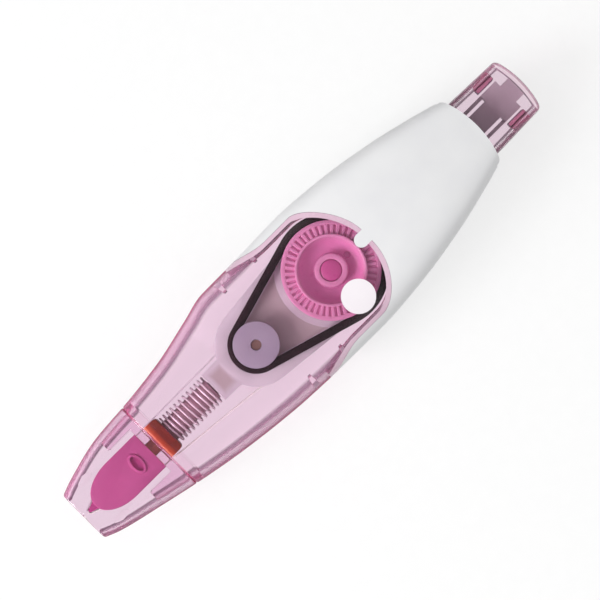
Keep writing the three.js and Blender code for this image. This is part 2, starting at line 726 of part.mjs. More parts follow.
function transferHead() {
  const half = wedgeSide(0);
  const mirrored = half.slice(0, -1).reverse().map((p) => new THREE.Vector2(p.x, -p.y));
  const wedge = new THREE.Shape([...half, ...mirrored].reverse());
  const plates = new THREE.Shape();
  const noseX = TIP_X + PLATE_SETBACK;
  const places = [0, 0.4, 1.2, 2.4, 4, 6, PLATE_NOSE_LENGTH, HEAD_BACK_X - noseX];
  const edge = places.map((d) => new THREE.Vector2(noseX + d, plateHalfWidth(d)));
  const outline = [...edge.map((p) => new THREE.Vector2(p.x, -p.y)), ...edge.reverse()];
  plates.setFromPoints(outline);
  const inner = TAPE_WIDTH / 2 + FIT_GAP;
  const outer = inner + HEAD_PLATE;
  const bossX = HEAD_BACK_X - BOSS_OFFSET;
  const boss = new THREE.Shape();
  boss.absellipse(bossX, 0, BOSS_HALF_LENGTH, BOSS_HALF_WIDTH, 0, 2 * Math.PI, false);
  const recess = new THREE.Shape();
  const recessLength = BOSS_HALF_LENGTH - BOSS_RIM;
  const recessWidth = BOSS_HALF_WIDTH - BOSS_RIM;
  recess.absellipse(bossX, 0, recessLength, recessWidth, 0, 2 * Math.PI, false);
  const tongueSlot = lengthwise(
    SHAFT_RADIUS + FIT_GAP,
    HEAD_BACK_X - SHAFT_BITE,
    HEAD_BACK_X + CUT_MARGIN,
    0,
    HEAD_Z,
  );
  return joined([
    extruded(wedge, HEAD_Z - inner, HEAD_Z + inner),
    extruded(plates, HEAD_Z - outer, HEAD_Z - inner),
    extruded(plates, HEAD_Z + inner, HEAD_Z + outer),
    extruded(boss, HEAD_Z + outer - HEAD_PLATE / 2, HEAD_Z + outer + BOSS_HEIGHT, 8),
  ])
    .subtract(extruded(recess, HEAD_Z + outer, HEAD_Z + outer + CUT_MARGIN, 8))
    .subtract(tongueSlot);
}

// The rod from the head to the cassette's block, thicker inside the spring
function headShaft() {
  const front = HEAD_BACK_X - SHAFT_BITE + FIT_GAP;
  const rod = lengthwise(SHAFT_RADIUS, front, BLOCK_X + SHAFT_BITE - FIT_GAP, 0, HEAD_Z);
  return rod.add(lengthwise(SLEEVE_RADIUS, SEAT_X, BLOCK_X - FIT_GAP, 0, HEAD_Z));
}

// Where a line from a point in front touches a reel, on its +y side
function touchPoint(from, reelX, radius) {
  const away = new THREE.Vector2(reelX - from.x, -from.y);
  const turn = away.angle() + Math.asin(radius / away.length());
  const reach = Math.sqrt(away.lengthSq() - radius * radius);
  return new THREE.Vector2(from.x + reach * Math.cos(turn), from.y + reach * Math.sin(turn));
}

// A strip of even thickness along a run of points
function stripShape(points, thickness) {
  const offset = (side) =>
    points.map((point, i) => {
      const before = points[Math.max(i - 1, 0)];
      const after = points[Math.min(i + 1, points.length - 1)];
      const along = after.clone().sub(before).normalize();
      return new THREE.Vector2(-along.y, along.x).multiplyScalar((side * thickness) / 2).add(point);
    });
  return new THREE.Shape([...offset(1), ...offset(-1).reverse()]);
}

// The tape's line from a reel to the head's tip, on the +y side
function tapeRun(reelX, rollRadius) {
  const side = wedgeSide(TAPE_SEAT_GAP + TAPE_THICKNESS / 2);
  const touch = touchPoint(side[0], reelX, rollRadius + FIT_GAP + TAPE_THICKNESS / 2);
  return [touch, ...side];
}

function mirroredRun(run) {
  return run.map((point) => new THREE.Vector2(point.x, -point.y));
}

const RETURN_RUN = tapeRun(TAKEUP_X, USED_RIBBON_RADIUS);
const FEED_RUN = mirroredRun(tapeRun(SUPPLY_X, TAPE_ROLL_RADIUS));

function tapeFeed() {
  return extruded(stripShape(FEED_RUN, TAPE_THICKNESS), TAPE_Z, TAPE_TOP);
}

function tapeReturn() {
  const run = RETURN_RUN.slice(0, -1);
  return extruded(stripShape(run, TAPE_THICKNESS), TAPE_Z, TAPE_TOP);
}

// The cassette's lower part: floor, wall, shaft block and both spindles
function refillTray() {
  const outline = reelOutline(TAKEUP_CHAMBER_RADIUS + TRAY_WALL, SUPPLY_CHAMBER_RADIUS + TRAY_WALL);
  const chamber = reelOutline(TAKEUP_CHAMBER_RADIUS, SUPPLY_CHAMBER_RADIUS);
  const block = box(BLOCK_X, BLOCK_X + BLOCK_DEPTH, -BLOCK_HALF_WIDTH, BLOCK_HALF_WIDTH, TRAY_Z, TRAY_TOP);
  const socket = lengthwise(SHAFT_RADIUS + FIT_GAP, BLOCK_X - CUT_MARGIN, BLOCK_X + SHAFT_BITE, 0, HEAD_Z);
  const slotTop = TRAY_TOP + CUT_MARGIN;
  const slotWidth = TAPE_THICKNESS + 2 * FIT_GAP;
  const slots = [FEED_RUN, RETURN_RUN].map((run) =>
    extruded(stripShape(run.slice(0, 2), slotWidth), TAPE_Z - FIT_GAP, slotTop),
  );
  const spindles = [
    upright(SPINDLE_RADIUS, TRAY_Z, WHEEL_FACE_Z - HUB_RECESS_DEPTH - FIT_GAP).translate([SUPPLY_X, 0, 0]),
    upright(TAKEUP_SPINDLE_RADIUS, TRAY_Z, WHEEL_FACE_Z - FIT_GAP).translate([TAKEUP_X, 0, 0]),
  ];
  const tray = extruded(outline, TRAY_Z, TRAY_TOP)
    .add(block)
    .subtract(extruded(chamber, TRAY_Z + TRAY_FLOOR, slotTop))
    .subtract(socket);
  return joined([slots.reduce((rest, slot) => rest.subtract(slot), tray), ...spindles]);
}

// A four-sided pit that narrows downwards, with its mouth at z
function pit(x0, x1, halfWidth, depth, z) {
  const geometry = new THREE.ConeGeometry(Math.SQRT2, 1, 4);
  geometry.rotateY(Math.PI / 4);
  geometry.rotateX(-Math.PI / 2);
  geometry.scale((x1 - x0) / 2, halfWidth, depth);
  geometry.translate((x0 + x1) / 2, 0, z - depth / 2);
  return solid(geometry);
}

// The plate over the reels, with holes for their sleeves and a tongue over the block.
// Its top is lower between the belt's runs, up to a step round the wheel.
function refillDeck() {
  const outline = reelOutline(TAKEUP_CHAMBER_RADIUS + TRAY_WALL, SUPPLY_CHAMBER_RADIUS + TRAY_WALL);
  const tongue = box(BLOCK_X, BLOCK_X + BLOCK_DEPTH, -BLOCK_HALF_WIDTH, BLOCK_HALF_WIDTH, DECK_Z, DECK_TOP);
  const holes = [
    [SUPPLY_X, HUB_SLEEVE_RADIUS],
    [TAKEUP_X, TAKEUP_SLEEVE_RADIUS],
  ].map(([x, sleeve]) =>
    upright(sleeve + FIT_GAP, DECK_Z - CUT_MARGIN, DECK_TOP + CUT_MARGIN).translate([x, 0, 0]),
  );
  const inBelt = BELT_DIAMETER / 2 + FIELD_INSET;
  const fieldPlan = reelOutline(BELT_SMALL_RADIUS - inBelt, BELT_LARGE_RADIUS - inBelt);
  const field = extruded(fieldPlan, DECK_TOP - FIELD_DEPTH, DECK_TOP + CUT_MARGIN).subtract(
    upright(WHEEL_STEP_RADIUS, DECK_Z, DECK_TOP + 2 * CUT_MARGIN, ROLL_SIDES).translate([SUPPLY_X, 0, 0]),
  );
  const recess = pit(
    BLOCK_X + BLOCK_RIM,
    BLOCK_X + BLOCK_DEPTH - BLOCK_RIM,
    BLOCK_HALF_WIDTH - BLOCK_RIM,
    BLOCK_RECESS,
    DECK_TOP,
  );
  return [...holes, field, recess].reduce(
    (plate, hole) => plate.subtract(hole),
    extruded(outline, DECK_Z, DECK_TOP).add(tongue),
  );
}

function driveBelt() {
  const half = BELT_DIAMETER / 2;
  const chamfer = BELT_DIAMETER / 4;
  const shape = reelOutline(BELT_SMALL_RADIUS + half - chamfer, BELT_LARGE_RADIUS + half - chamfer);
  shape.holes.push(reelOutline(BELT_SMALL_RADIUS - half + chamfer, BELT_LARGE_RADIUS - half + chamfer));
  const geometry = new THREE.ExtrudeGeometry(shape, {
    depth: BELT_DIAMETER - 2 * chamfer,
    bevelThickness: chamfer,
    bevelSize: chamfer,
    bevelSegments: 1,
    curveSegments: BELT_ARC_STEPS,
  });
  geometry.translate(0, 0, GROOVE_Z + chamfer);
  return solid(geometry);
}

// Reels and the wheel are turned round their own axis and placed afterwards
function supplyCore() {
  const bore = SPINDLE_RADIUS + FIT_GAP;
  return turned(
    [
      [bore, REEL_Z],
      [SUPPLY_FLANGE_RADIUS, REEL_Z],
      [SUPPLY_FLANGE_RADIUS, REEL_Z + REEL_FLANGE],
      [CORE_RADIUS, REEL_Z + REEL_FLANGE],
      [CORE_RADIUS, TAPE_TOP],
      [CLUTCH_RADIUS + FIT_GAP, TAPE_TOP],
      [CLUTCH_RADIUS + FIT_GAP, TAPE_TOP - CLUTCH_DEPTH],
      [bore, TAPE_TOP - CLUTCH_DEPTH],
    ],
    REEL_SIDES,
  );
}

function ringOf(inner, outer, z0, z1, segments) {
  return turned([[inner, z0], [outer, z0], [outer, z1], [inner, z1]], segments);
}

function tapeRoll() {
  return ringOf(CORE_RADIUS + FIT_GAP, TAPE_ROLL_RADIUS, TAPE_Z, TAPE_TOP, ROLL_SIDES);
}

function clutchRing() {
  const inner = SPINDLE_RADIUS + 2 * FIT_GAP;
  return ringOf(inner, CLUTCH_RADIUS, TAPE_TOP - CLUTCH_DEPTH + FIT_GAP, TAPE_TOP, SMALL_SIDES);
}

// Pulley below, and above it a ring of teeth, a raised rim, a dish and a hub ring
function winderWheel() {
  const bore = SPINDLE_RADIUS + FIT_GAP;
  const groove = BELT_LARGE_RADIUS - GROOVE_DEPTH;
  const face = WHEEL_FACE_Z;
  const body = turned(
    [
      [bore, TAPE_TOP + FIT_GAP],
      [HUB_SLEEVE_RADIUS, TAPE_TOP + FIT_GAP],
      [HUB_SLEEVE_RADIUS, PULLEY_Z],
      [WHEEL_RADIUS, PULLEY_Z],
      [WHEEL_RADIUS, GROOVE_Z],
      [groove, GROOVE_Z],
      [groove, GROOVE_TOP],
      [WHEEL_RADIUS, GROOVE_TOP],
      [WHEEL_RADIUS, face],
      [TOOTH_RING_OUTER, face],
      [TOOTH_RING_OUTER, face - TOOTH_HEIGHT],
      [TOOTH_RING_INNER, face - TOOTH_HEIGHT],
      [TOOTH_RING_INNER, WHEEL_TOP],
      [TOOTH_RING_INNER - RIM_WIDTH, WHEEL_TOP],
      [HUB_RING_RADIUS + RIM_WIDTH, PULLEY_Z + DISH_FLOOR],
      [HUB_RING_RADIUS, PULLEY_Z + DISH_FLOOR],
      [HUB_RING_RADIUS, face],
      [HUB_RECESS_RADIUS, face],
      [HUB_RECESS_RADIUS, face - HUB_RECESS_DEPTH],
      [bore, face - HUB_RECESS_DEPTH],
    ],
    TOOTH_COUNT,
  );
  const teeth = Array.from({ length: TOOTH_COUNT }, (_, i) =>
    box(
      TOOTH_RING_INNER - TOOTH_ROOT,
      TOOTH_RING_OUTER + TOOTH_ROOT,
      -TOOTH_WIDTH / 2,
      TOOTH_WIDTH / 2,
      face - TOOTH_HEIGHT - TOOTH_ROOT,
      face,
    ).rotate([0, 0, ((i + 0.5) * 360) / TOOTH_COUNT]),
  );
  const dimple = upright(DIMPLE_RADIUS, GROOVE_Z, WHEEL_TOP).translate([DIMPLE_OFFSET, 0, 0]);
  return joined([body, ...teeth]).subtract(dimple);
}

function hubCap() {
  const radius = HUB_RECESS_RADIUS - FIT_GAP;
  return turned(
    [
      [0, WHEEL_FACE_Z - HUB_RECESS_DEPTH],
      [radius, WHEEL_FACE_Z - HUB_RECESS_DEPTH],
      [radius, WHEEL_FACE_Z - FIT_GAP],
      [radius - FIT_GAP, WHEEL_FACE_Z],
      [0, WHEEL_FACE_Z],
    ],
    SMALL_SIDES,
  );
}

function takeupCore() {
  const bore = TAKEUP_SPINDLE_RADIUS + FIT_GAP;
  return turned(
    [
      [bore, REEL_Z],
      [TAKEUP_FLANGE_RADIUS, REEL_Z],
      [TAKEUP_FLANGE_RADIUS, REEL_Z + REEL_FLANGE],
      [TAKEUP_CORE_RADIUS, REEL_Z + REEL_FLANGE],
      [TAKEUP_CORE_RADIUS, TAPE_TOP],
      [bore, TAPE_TOP],
    ],
    SMALL_SIDES,
  );
}

function usedRibbon() {
  return ringOf(TAKEUP_CORE_RADIUS + FIT_GAP, USED_RIBBON_RADIUS, TAPE_Z, TAPE_TOP, SMALL_SIDES);
}

// Its cap widens upwards and ends over the belt's inner edge
function takeupPulley() {
  const bore = TAKEUP_SPINDLE_RADIUS + FIT_GAP;
  const groove = BELT_SMALL_RADIUS - GROOVE_DEPTH;
  const flange = BELT_SMALL_RADIUS - FLANGE_OVER_BELT;
  return turned(
    [
      [bore, TAPE_TOP + FIT_GAP],
      [TAKEUP_SLEEVE_RADIUS, TAPE_TOP + FIT_GAP],
      [TAKEUP_SLEEVE_RADIUS, PULLEY_Z],
      [flange, PULLEY_Z],
      [flange, GROOVE_Z],
      [groove, GROOVE_Z],
      [groove, GROOVE_TOP],
      [flange, GROOVE_TOP],
      [TAKEUP_CAP_RADIUS, GROOVE_TOP + FIT_GAP],
      [TAKEUP_CAP_RADIUS, WHEEL_FACE_Z],
      [bore, WHEEL_FACE_Z],
    ],
    ROLL_SIDES,
  );
}

// The button's outline in the yz plane, moved outwards by grow and drawn in by round at its end.
// Its sides fall back as x grows, so that the end is bowed round a flat middle.
function buttonRing(x, grow, round) {
  const share = THREE.MathUtils.clamp((x - COVER_END_X) / BUTTON_REACH, 0, 1);
  const halfWidth = BUTTON_HALF_WIDTH - BUTTON_TAPER * share + grow - round;
  const halfHeight = BUTTON_HALF_HEIGHT - (BUTTON_TAPER / 2) * share + grow - round;
  const low = BUTTON_Z - halfHeight;
  const high = BUTTON_Z + halfHeight;
  const ring = roundedRing(x, halfWidth, halfWidth, low, high, BUTTON_SQUARENESS, low);
  return ring.map((point) => {
    const beside = Math.max(Math.abs(point.y) - BUTTON_FLAT, 0) / (BUTTON_HALF_WIDTH - BUTTON_FLAT);
    return point.setX(x - BUTTON_BULGE * share ** 2 * beside ** 1.5);
  });
}

function knockButton() {
  const roundSteps = [0, 0.4, 0.75, 1].map((share) => {
    const x = LENGTH - BUTTON_ROUND * (1 - share);
    const round = BUTTON_ROUND * (1 - Math.sqrt(1 - share * share));
    return [x, round];
  });
  const roundAt = smoothThrough([[BUTTON_START_X, 0], ...roundSteps]);
  const places = [...evenly(BUTTON_START_X, COVER_END_X, BUTTON_INSIDE), ...roundSteps.map(([x]) => x)];
  const shell = loft(places, (x) => buttonRing(x, 0, roundAt(x)));
  const hollowEnd = LENGTH - BUTTON_TOP_WALL;
  const hollow = loft([BUTTON_START_X - CUT_MARGIN, hollowEnd], (x) => buttonRing(x, -BUTTON_WALL, 0));
  const lipEnd = COVER_END_X - COVER_END_BULGE - REAR_WALL - FIT_GAP;
  const lips = [-1, 1].map((side) => {
    const near = BUTTON_Z + side * (BUTTON_HALF_HEIGHT - BUTTON_WALL / 2);
    const far = BUTTON_Z + side * (BUTTON_HALF_HEIGHT + LIP_HEIGHT);
    return box(
      lipEnd - LIP_LENGTH,
      lipEnd,
      -LIP_HALF_WIDTH,
      LIP_HALF_WIDTH,
      Math.min(near, far),
      Math.max(near, far),
    );
  });
  const ribX = LENGTH - SIDE_RIB_FROM_END;
  const ribs = [-1, 1].map((side) => {
    const inside = side * (BUTTON_HALF_WIDTH - BUTTON_WALL - SIDE_RIB_WIDTH);
    const outside = side * (BUTTON_HALF_WIDTH - BUTTON_WALL / 2 - BUTTON_TAPER);
    return box(
      ribX,
      ribX + SIDE_RIB_LENGTH,
      Math.min(inside, outside),
      Math.max(inside, outside),
      BUTTON_Z - BUTTON_HALF_HEIGHT + BUTTON_WALL / 2,
      BUTTON_Z + BUTTON_HALF_HEIGHT - BUTTON_WALL / 2,
    );
  });
  return joined([shell.subtract(hollow), ...lips, ...ribs]);
}

// A ribbed rod from the cassette's back wall to the button's end wall, with a block that has two
// arms running back beside the rod
function knockRod() {
  const end = LENGTH - BUTTON_TOP_WALL - FIT_GAP;
  const web = box(
    ROD_X,
    end,
    -ROD_FLANGE / 2,
    ROD_FLANGE / 2,
    BUTTON_Z - ROD_HALF_HEIGHT,
    BUTTON_Z + ROD_HALF_HEIGHT,
  );
  const flanges = [-1, 1].map((side) => {
    const edge = BUTTON_Z + side * ROD_HALF_HEIGHT;
    const inner = edge - side * ROD_FLANGE;
    return box(ROD_X, end, -ROD_HALF_WIDTH, ROD_HALF_WIDTH, Math.min(edge, inner), Math.max(edge, inner));
  });
  const ribs = evenly(ROD_X + FOOT_LENGTH, end - RIB_THICKNESS, (end - ROD_X) / ROD_RIB_COUNT).map((x) =>
    box(
      x,
      x + RIB_THICKNESS,
      -ROD_HALF_WIDTH,
      ROD_HALF_WIDTH,
      BUTTON_Z - ROD_HALF_HEIGHT,
      BUTTON_Z + ROD_HALF_HEIGHT,
    ),
  );
  const foot = box(
    ROD_X,
    ROD_X + FOOT_LENGTH,
    -FOOT_HALF_WIDTH,
    FOOT_HALF_WIDTH,
    TRAY_TOP - 2 * FOOT_HALF_HEIGHT,
    TRAY_TOP,
  );
  const blockX = LENGTH - SIDE_RIB_FROM_END;
  const armX = blockX - STROKE - BUTTON_INSIDE;
  const block = box(
    blockX,
    blockX + SIDE_RIB_LENGTH,
    -ROD_BLOCK_HALF_WIDTH,
    ROD_BLOCK_HALF_WIDTH,
    BUTTON_Z - ROD_HALF_HEIGHT,
    BUTTON_Z + ROD_HALF_HEIGHT,
  );
  const arms = [1, -1].map((side) => {
    const outer = side * ROD_BLOCK_HALF_WIDTH;
    const inner = outer - side * ROD_ARM_WIDTH;
    return box(
      armX,
      blockX + ROD_FLANGE,
      Math.min(inner, outer),
      Math.max(inner, outer),
      BUTTON_Z - ROD_ARM_HALF_HEIGHT,
      BUTTON_Z + ROD_ARM_HALF_HEIGHT,
    );
  });
  return joined([web, ...flanges, ...ribs, foot, block, ...arms]);
}

function plastic(color, roughness, opacity = 1) {
  return new THREE.MeshStandardMaterial({
    color,
    roughness,
    metalness: 0,
    opacity,
    transparent: opacity < 1,
  });
}

const CLEAR_PINK = plastic(0xe6c8de, 0.12, 0.4);
const WHITE = plastic(0xe8e9eb, 0.35);
const PINK = plastic(0xd877ae, 0.3);
const HEAD_PINK = plastic(0xc2588e, 0.4);
const LILAC = plastic(0xb09ab8, 0.4);
const GREY_LILAC = plastic(0xa48a98, 0.4);
const ORANGE = plastic(0xd9622b, 0.45);
const DARK_NECK = plastic(0x7a3040, 0.45);
const TAPE_WHITE = plastic(0xf4f2ee, 0.7);
const RIBBON = plastic(0xd8cfd6, 0.3);
const RUBBER = plastic(0x2a1820, 0.8);
const STEEL = new THREE.MeshStandardMaterial({ color: 0xb8a8b4, roughness: 0.3, metalness: 1 });

function piece(name, shape, material) {
  const mesh = new THREE.Mesh(geometryOf(shape), material);
  mesh.name = name;
  return mesh;
}

function housing() {
  return new THREE.Group().add(
    piece("nose_sleeve", noseSleeve(), CLEAR_PINK),
    piece("barrel_top", barrelTop(), CLEAR_PINK),
    piece("barrel_bottom", barrelBottom(), CLEAR_PINK),
    piece("cover_top", coverTop(), WHITE),
    piece("cover_bottom", coverBottom(), WHITE),
    piece("spring_seat", springSeat(), ORANGE),
    piece("return_spring", returnSpring(), STEEL),
  );
}

function supplyReel() {
  const reel = new THREE.Group().add(
    piece("supply_core", supplyCore(), GREY_LILAC),
    piece("tape_roll", tapeRoll(), TAPE_WHITE),
    piece("clutch_ring", clutchRing(), RUBBER),
    piece("winder_wheel", winderWheel(), PINK),
    piece("hub_cap", hubCap(), HEAD_PINK),
  );
  reel.position.x = SUPPLY_X;
  return reel;
}

function takeupReel() {
  const reel = new THREE.Group().add(
    piece("takeup_core", takeupCore(), GREY_LILAC),
    piece("used_ribbon", usedRibbon(), RIBBON),
    piece("takeup_pulley", takeupPulley(), LILAC),
  );
  reel.position.x = TAKEUP_X;
  return reel;
}

function refill() {
  return new THREE.Group().add(
    piece("refill_tray", refillTray(), GREY_LILAC),
    piece("refill_deck", refillDeck(), GREY_LILAC),
    piece("head_shaft", headShaft(), DARK_NECK),
    piece("transfer_head", transferHead(), HEAD_PINK),
    piece("tape_feed", tapeFeed(), TAPE_WHITE),
    piece("tape_return", tapeReturn(), RIBBON),
    piece("drive_belt", driveBelt(), RUBBER),
    supplyReel(),
    takeupReel(),
  );
}

function knock() {
  return new THREE.Group().add(
    piece("knock_button", knockButton(), CLEAR_PINK),
    piece("knock_rod", knockRod(), GREY_LILAC),
  );
}

const correctionTape = new THREE.Group().add(housing(), refill(), knock());
correctionTape.position.x = -LENGTH / 2;

export default correctionTape;
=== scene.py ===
import math

import bmesh
import bpy
import numpy as np
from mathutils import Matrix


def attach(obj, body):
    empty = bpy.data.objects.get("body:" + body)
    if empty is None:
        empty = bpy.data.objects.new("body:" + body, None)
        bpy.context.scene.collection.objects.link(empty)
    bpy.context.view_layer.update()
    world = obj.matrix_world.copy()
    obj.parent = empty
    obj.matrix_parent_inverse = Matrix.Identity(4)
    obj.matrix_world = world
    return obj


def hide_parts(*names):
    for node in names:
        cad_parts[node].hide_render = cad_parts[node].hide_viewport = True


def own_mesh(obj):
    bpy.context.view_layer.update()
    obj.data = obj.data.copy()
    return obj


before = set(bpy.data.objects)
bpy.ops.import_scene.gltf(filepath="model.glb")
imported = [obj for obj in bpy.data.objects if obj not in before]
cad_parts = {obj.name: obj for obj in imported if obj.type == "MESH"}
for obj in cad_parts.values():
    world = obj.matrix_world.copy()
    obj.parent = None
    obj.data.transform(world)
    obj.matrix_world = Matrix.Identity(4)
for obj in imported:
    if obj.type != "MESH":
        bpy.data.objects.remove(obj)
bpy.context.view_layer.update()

# Lengths are in millimetres, with x counted from the open front of the nose.
# placed() turns them into metres in the shared frame.
MM = 0.001
LENGTH = 132.6
NOSE_LENGTH = 22.2
TAKEUP_X = 52.3
SUPPLY_X = 74.9
BARREL_END_X = SUPPLY_X + 13.7
COVER_END_X = 118.9
HEAD_BACK_X = 20.4
SPRING_X = 26.1
SPRING_LENGTH = 12.9

BODY_HEIGHT = 18.6
BODY_HALF_WIDTH = 16.4
SPLIT_Z = 9.3
HEAD_Z = 7.9
TRAY_TOP = 11.2
PULLEY_Z = 12.6
GROOVE_Z = 13.1
HUB_Z = 14.4
GROOVE_TOP = 14.9
WHEEL_FACE_Z = 15.4
WHEEL_TOP = 16.0

FIT_GAP = 0.3
SEAM_GAP = 0.2
SHELL_WALL = 1.4
NOSE_WALL = 1.05

# x, half width towards +y, half width towards -y, lowest and highest z of the skin
STATIONS = np.array([
    [0, 6.35, 6.35, 2.5, 13.3],
    [3.4, 7.6, 7.7, 2.4, 13.5],
    [13.8, 10.1, 10.2, 1.8, 14.3],
    [24.0, 10.9, 12.4, 1.2, 15.2],
    [34.4, 12.2, 14.2, 0.6, 16.3],
    [44.8, 14.5, 15.45, 0.15, 17.5],
    [51.6, 16.0, 16.0, 0, 18.1],
    [61.9, 16.1, 16.35, -0.2, 18.5],
    [SUPPLY_X, 16.4, 16.4, -0.2, BODY_HEIGHT],
    [86.1, 15.6, 15.6, 0, 18.4],
    [99.9, 13.5, 13.5, 0.8, 17.6],
    [110.2, 11.1, 11.1, 2.0, 16.5],
    [115.3, 9.7, 9.7, 2.6, 15.9],
    [COVER_END_X, 8.6, 8.6, 3.1, 15.4],
])
RING_SIDES = 176


def smooth_through(places, values):
    """A smooth curve through the values that doesn't overshoot between them."""
    steep = np.diff(values) / np.diff(places)
    before, after = np.r_[steep[0], steep], np.r_[steep, steep[-1]]
    agree = before * after > 0
    slopes = np.where(agree, 2 * before * after / np.where(agree, before + after, 1), 0)

    def value(x):
        i = int(np.clip(np.searchsorted(places, x, side="right") - 1, 0, len(places) - 2))
        width = places[i + 1] - places[i]
        t = min(max((x - places[i]) / width, 0), 1)
        u = 1 - t
        held = values[i] * u * u * (1 + 2 * t) + values[i + 1] * t * t * (3 - 2 * t)
        return held + slopes[i] * width * t * u * u - slopes[i + 1] * width * t * t * u

    return value


left_at, right_at, low_at, high_at = (
    smooth_through(STATIONS[:, 0], STATIONS[:, column]) for column in (1, 2, 3, 4)
)
squareness_at = smooth_through(
    np.array([0, NOSE_LENGTH, TAKEUP_X, COVER_END_X]), np.array([7, 4.5, 3.8, 3.8])
)


# Meshes

def placed(points):
    """Points in millimetres from the front, as metres in the shared frame."""
    moved = np.array(points, float)
    moved[:, 0] -= LENGTH / 2
    return moved * MM


def solid(name, points, faces):
    """A closed mesh object with its faces turned outwards and its hard edges kept."""
    mesh = bpy.data.meshes.new(name)
    mesh.from_pydata(placed(points).tolist(), [], faces)
    made = bpy.data.objects.new(name, mesh)
    bpy.context.scene.collection.objects.link(made)
    tidy_faces(made)
    return made


def tidy_faces(piece, angle=28):
    """Faces turned outwards and smooth, with hard edges where they meet at more than angle."""
    form = bmesh.new()
    form.from_mesh(piece.data)
    bmesh.ops.remove_doubles(form, verts=form.verts, dist=1e-7)
    bmesh.ops.recalc_face_normals(form, faces=form.faces)
    for face in form.faces:
        face.smooth = True
    for edge in form.edges:
        edge.smooth = len(edge.link_faces) == 2 and edge.calc_face_angle(0) < math.radians(angle)
    form.to_mesh(piece.data)
    form.free()


def applied(piece):
    """The piece with its modifiers made part of its mesh."""
    bpy.context.view_layer.update()
    shown = piece.evaluated_get(bpy.context.evaluated_depsgraph_get())
    mesh = bpy.data.meshes.new_from_object(shown)
    piece.modifiers.clear()
    piece.data = mesh
    return piece


def combined(piece, tool, operation):
    """The piece after a Boolean operation with the tool, which is used up."""
    boolean = piece.modifiers.new("combine", "BOOLEAN")
    boolean.operation = operation
    boolean.solver = "MANIFOLD"
    boolean.object = tool
    applied(piece)
    bpy.data.objects.remove(tool)
    return piece


def cut(piece, *tools):
    for tool in tools:
        combined(piece, tool, "DIFFERENCE")
    return piece


def join(piece, *others):
    for other in others:
        combined(piece, other, "UNION")
    return piece


def keep(piece, *others):
    for other in others:
        combined(piece, other, "INTERSECT")
    return piece


def bevelled(piece, width):
    bevel = piece.modifiers.new("bevel", "BEVEL")
    bevel.width = width * MM
    bevel.segments = 3
    bevel.angle_limit = math.radians(30)
    applied(piece)
    tidy_faces(piece, 40)
    return piece


def strips(first, sides):
    """Faces across a ring that starts at its side, between its upper and lower points."""
    half = sides // 2
    faces = [(0, 1, sides - 1), (half - 1, half, half + 1)]
    faces += [(j, j + 1, sides - j - 1, sides - j) for j in range(1, half - 1)]
    return [tuple(first + j for j in face) for face in faces]


def loft(name, rings, joined=False, bowed=False):
    """A skin over rings of points, closed at both ends or joined into a loop."""
    count, sides = len(rings), len(rings[0])
    faces = []
    for i in range(count if joined else count - 1):
        a, b = i * sides, (i + 1) % count * sides
        faces += [(a + j, a + (j + 1) % sides, b + (j + 1) % sides, b + j) for j in range(sides)]
    end = (count - 1) * sides
    if bowed:
        faces += strips(0, sides) + strips(end, sides)
    elif not joined:
        faces += [tuple(range(sides))[::-1], tuple(range(end, end + sides))]
    return solid(name, np.vstack(rings), faces)


def evenly_spaced(points, count):
    """A closed outline as count points at even steps along it."""
    loop = np.vstack([points, points[:1]])
    reach = np.r_[0, np.cumsum(np.linalg.norm(np.diff(loop, axis=0), axis=1))]
    at = np.linspace(0, reach[-1], count, endpoint=False)
    return np.column_stack([np.interp(at, reach, column) for column in loop.T])


def rounded_ring(x, left, right, low, high, squareness, lowest):
    """A rounded rectangle in the yz plane, cut off flat below lowest."""
    turn = np.linspace(0, 2 * math.pi, 721)[:-1]
    across, up = np.cos(turn), np.sin(turn)
    half = (high - low) / 2
    side = np.where(across > 0, left, right)
    reach = (abs(across / side) ** squareness + abs(up / half) ** squareness) ** (-1 / squareness)
    z = np.maximum((low + high) / 2 + reach * up, lowest)
    return evenly_spaced(np.column_stack([np.full_like(z, x), reach * across, z]), RING_SIDES)


def skin_ring(x, inset):
    """The housing's outline at x, moved inwards by inset."""
    left, right, high = left_at(x) - inset, right_at(x) - inset, high_at(x) - inset
    return rounded_ring(x, left, right, low_at(x) + inset, high, squareness_at(x), inset)


def soft_ends(x0, x1, soft0, soft1, step=0.8):
    """Places along x and the inset at each, which rounds the edges at both ends."""
    quarter = np.radians([0, 22.5, 45, 67.5, 90])
    start = [(x0 + soft0 * (1 - math.cos(a)), soft0 * (1 - math.sin(a))) for a in quarter]
    end = [(x1 - soft1 * (1 - math.cos(a)), soft1 * (1 - math.sin(a))) for a in quarter[::-1]]
    count = max(int((x1 - x0) / step), 2)
    middle = [(x, 0) for x in np.linspace(x0 + soft0, x1 - soft1, count)[1:-1]]
    return (start if soft0 else start[:1]) + middle + (end if soft1 else end[-1:])


def skin(name, inset, x0, x1, soft0=0, soft1=0):
    """The housing's skin from x0 to x1, moved inwards by inset."""
    return loft(name, [skin_ring(x, inset + more) for x, more in soft_ends(x0, x1, soft0, soft1)])


def box(name, x0, x1, y0, y1, z0, z1):
    points = [(x, y, z) for x in (x0, x1) for y in (y0, y1) for z in (z0, z1)]
    faces = [(0, 1, 3, 2), (4, 6, 7, 5), (0, 4, 5, 1), (2, 3, 7, 6), (0, 2, 6, 4), (1, 5, 7, 3)]
    return solid(name, points, faces)


def prism(name, outline, z0, z1):
    """An outline in plan, made upright from z0 to z1."""
    flat = np.array(outline, float)
    low = np.column_stack([flat, np.full(len(flat), z0)])
    high = np.column_stack([flat, np.full(len(flat), z1)])
    return loft(name, [low, high])


def throughout(name, outline):
    """An outline in plan, made upright through the whole body."""
    return prism(name, outline, -1, BODY_HEIGHT + 1)


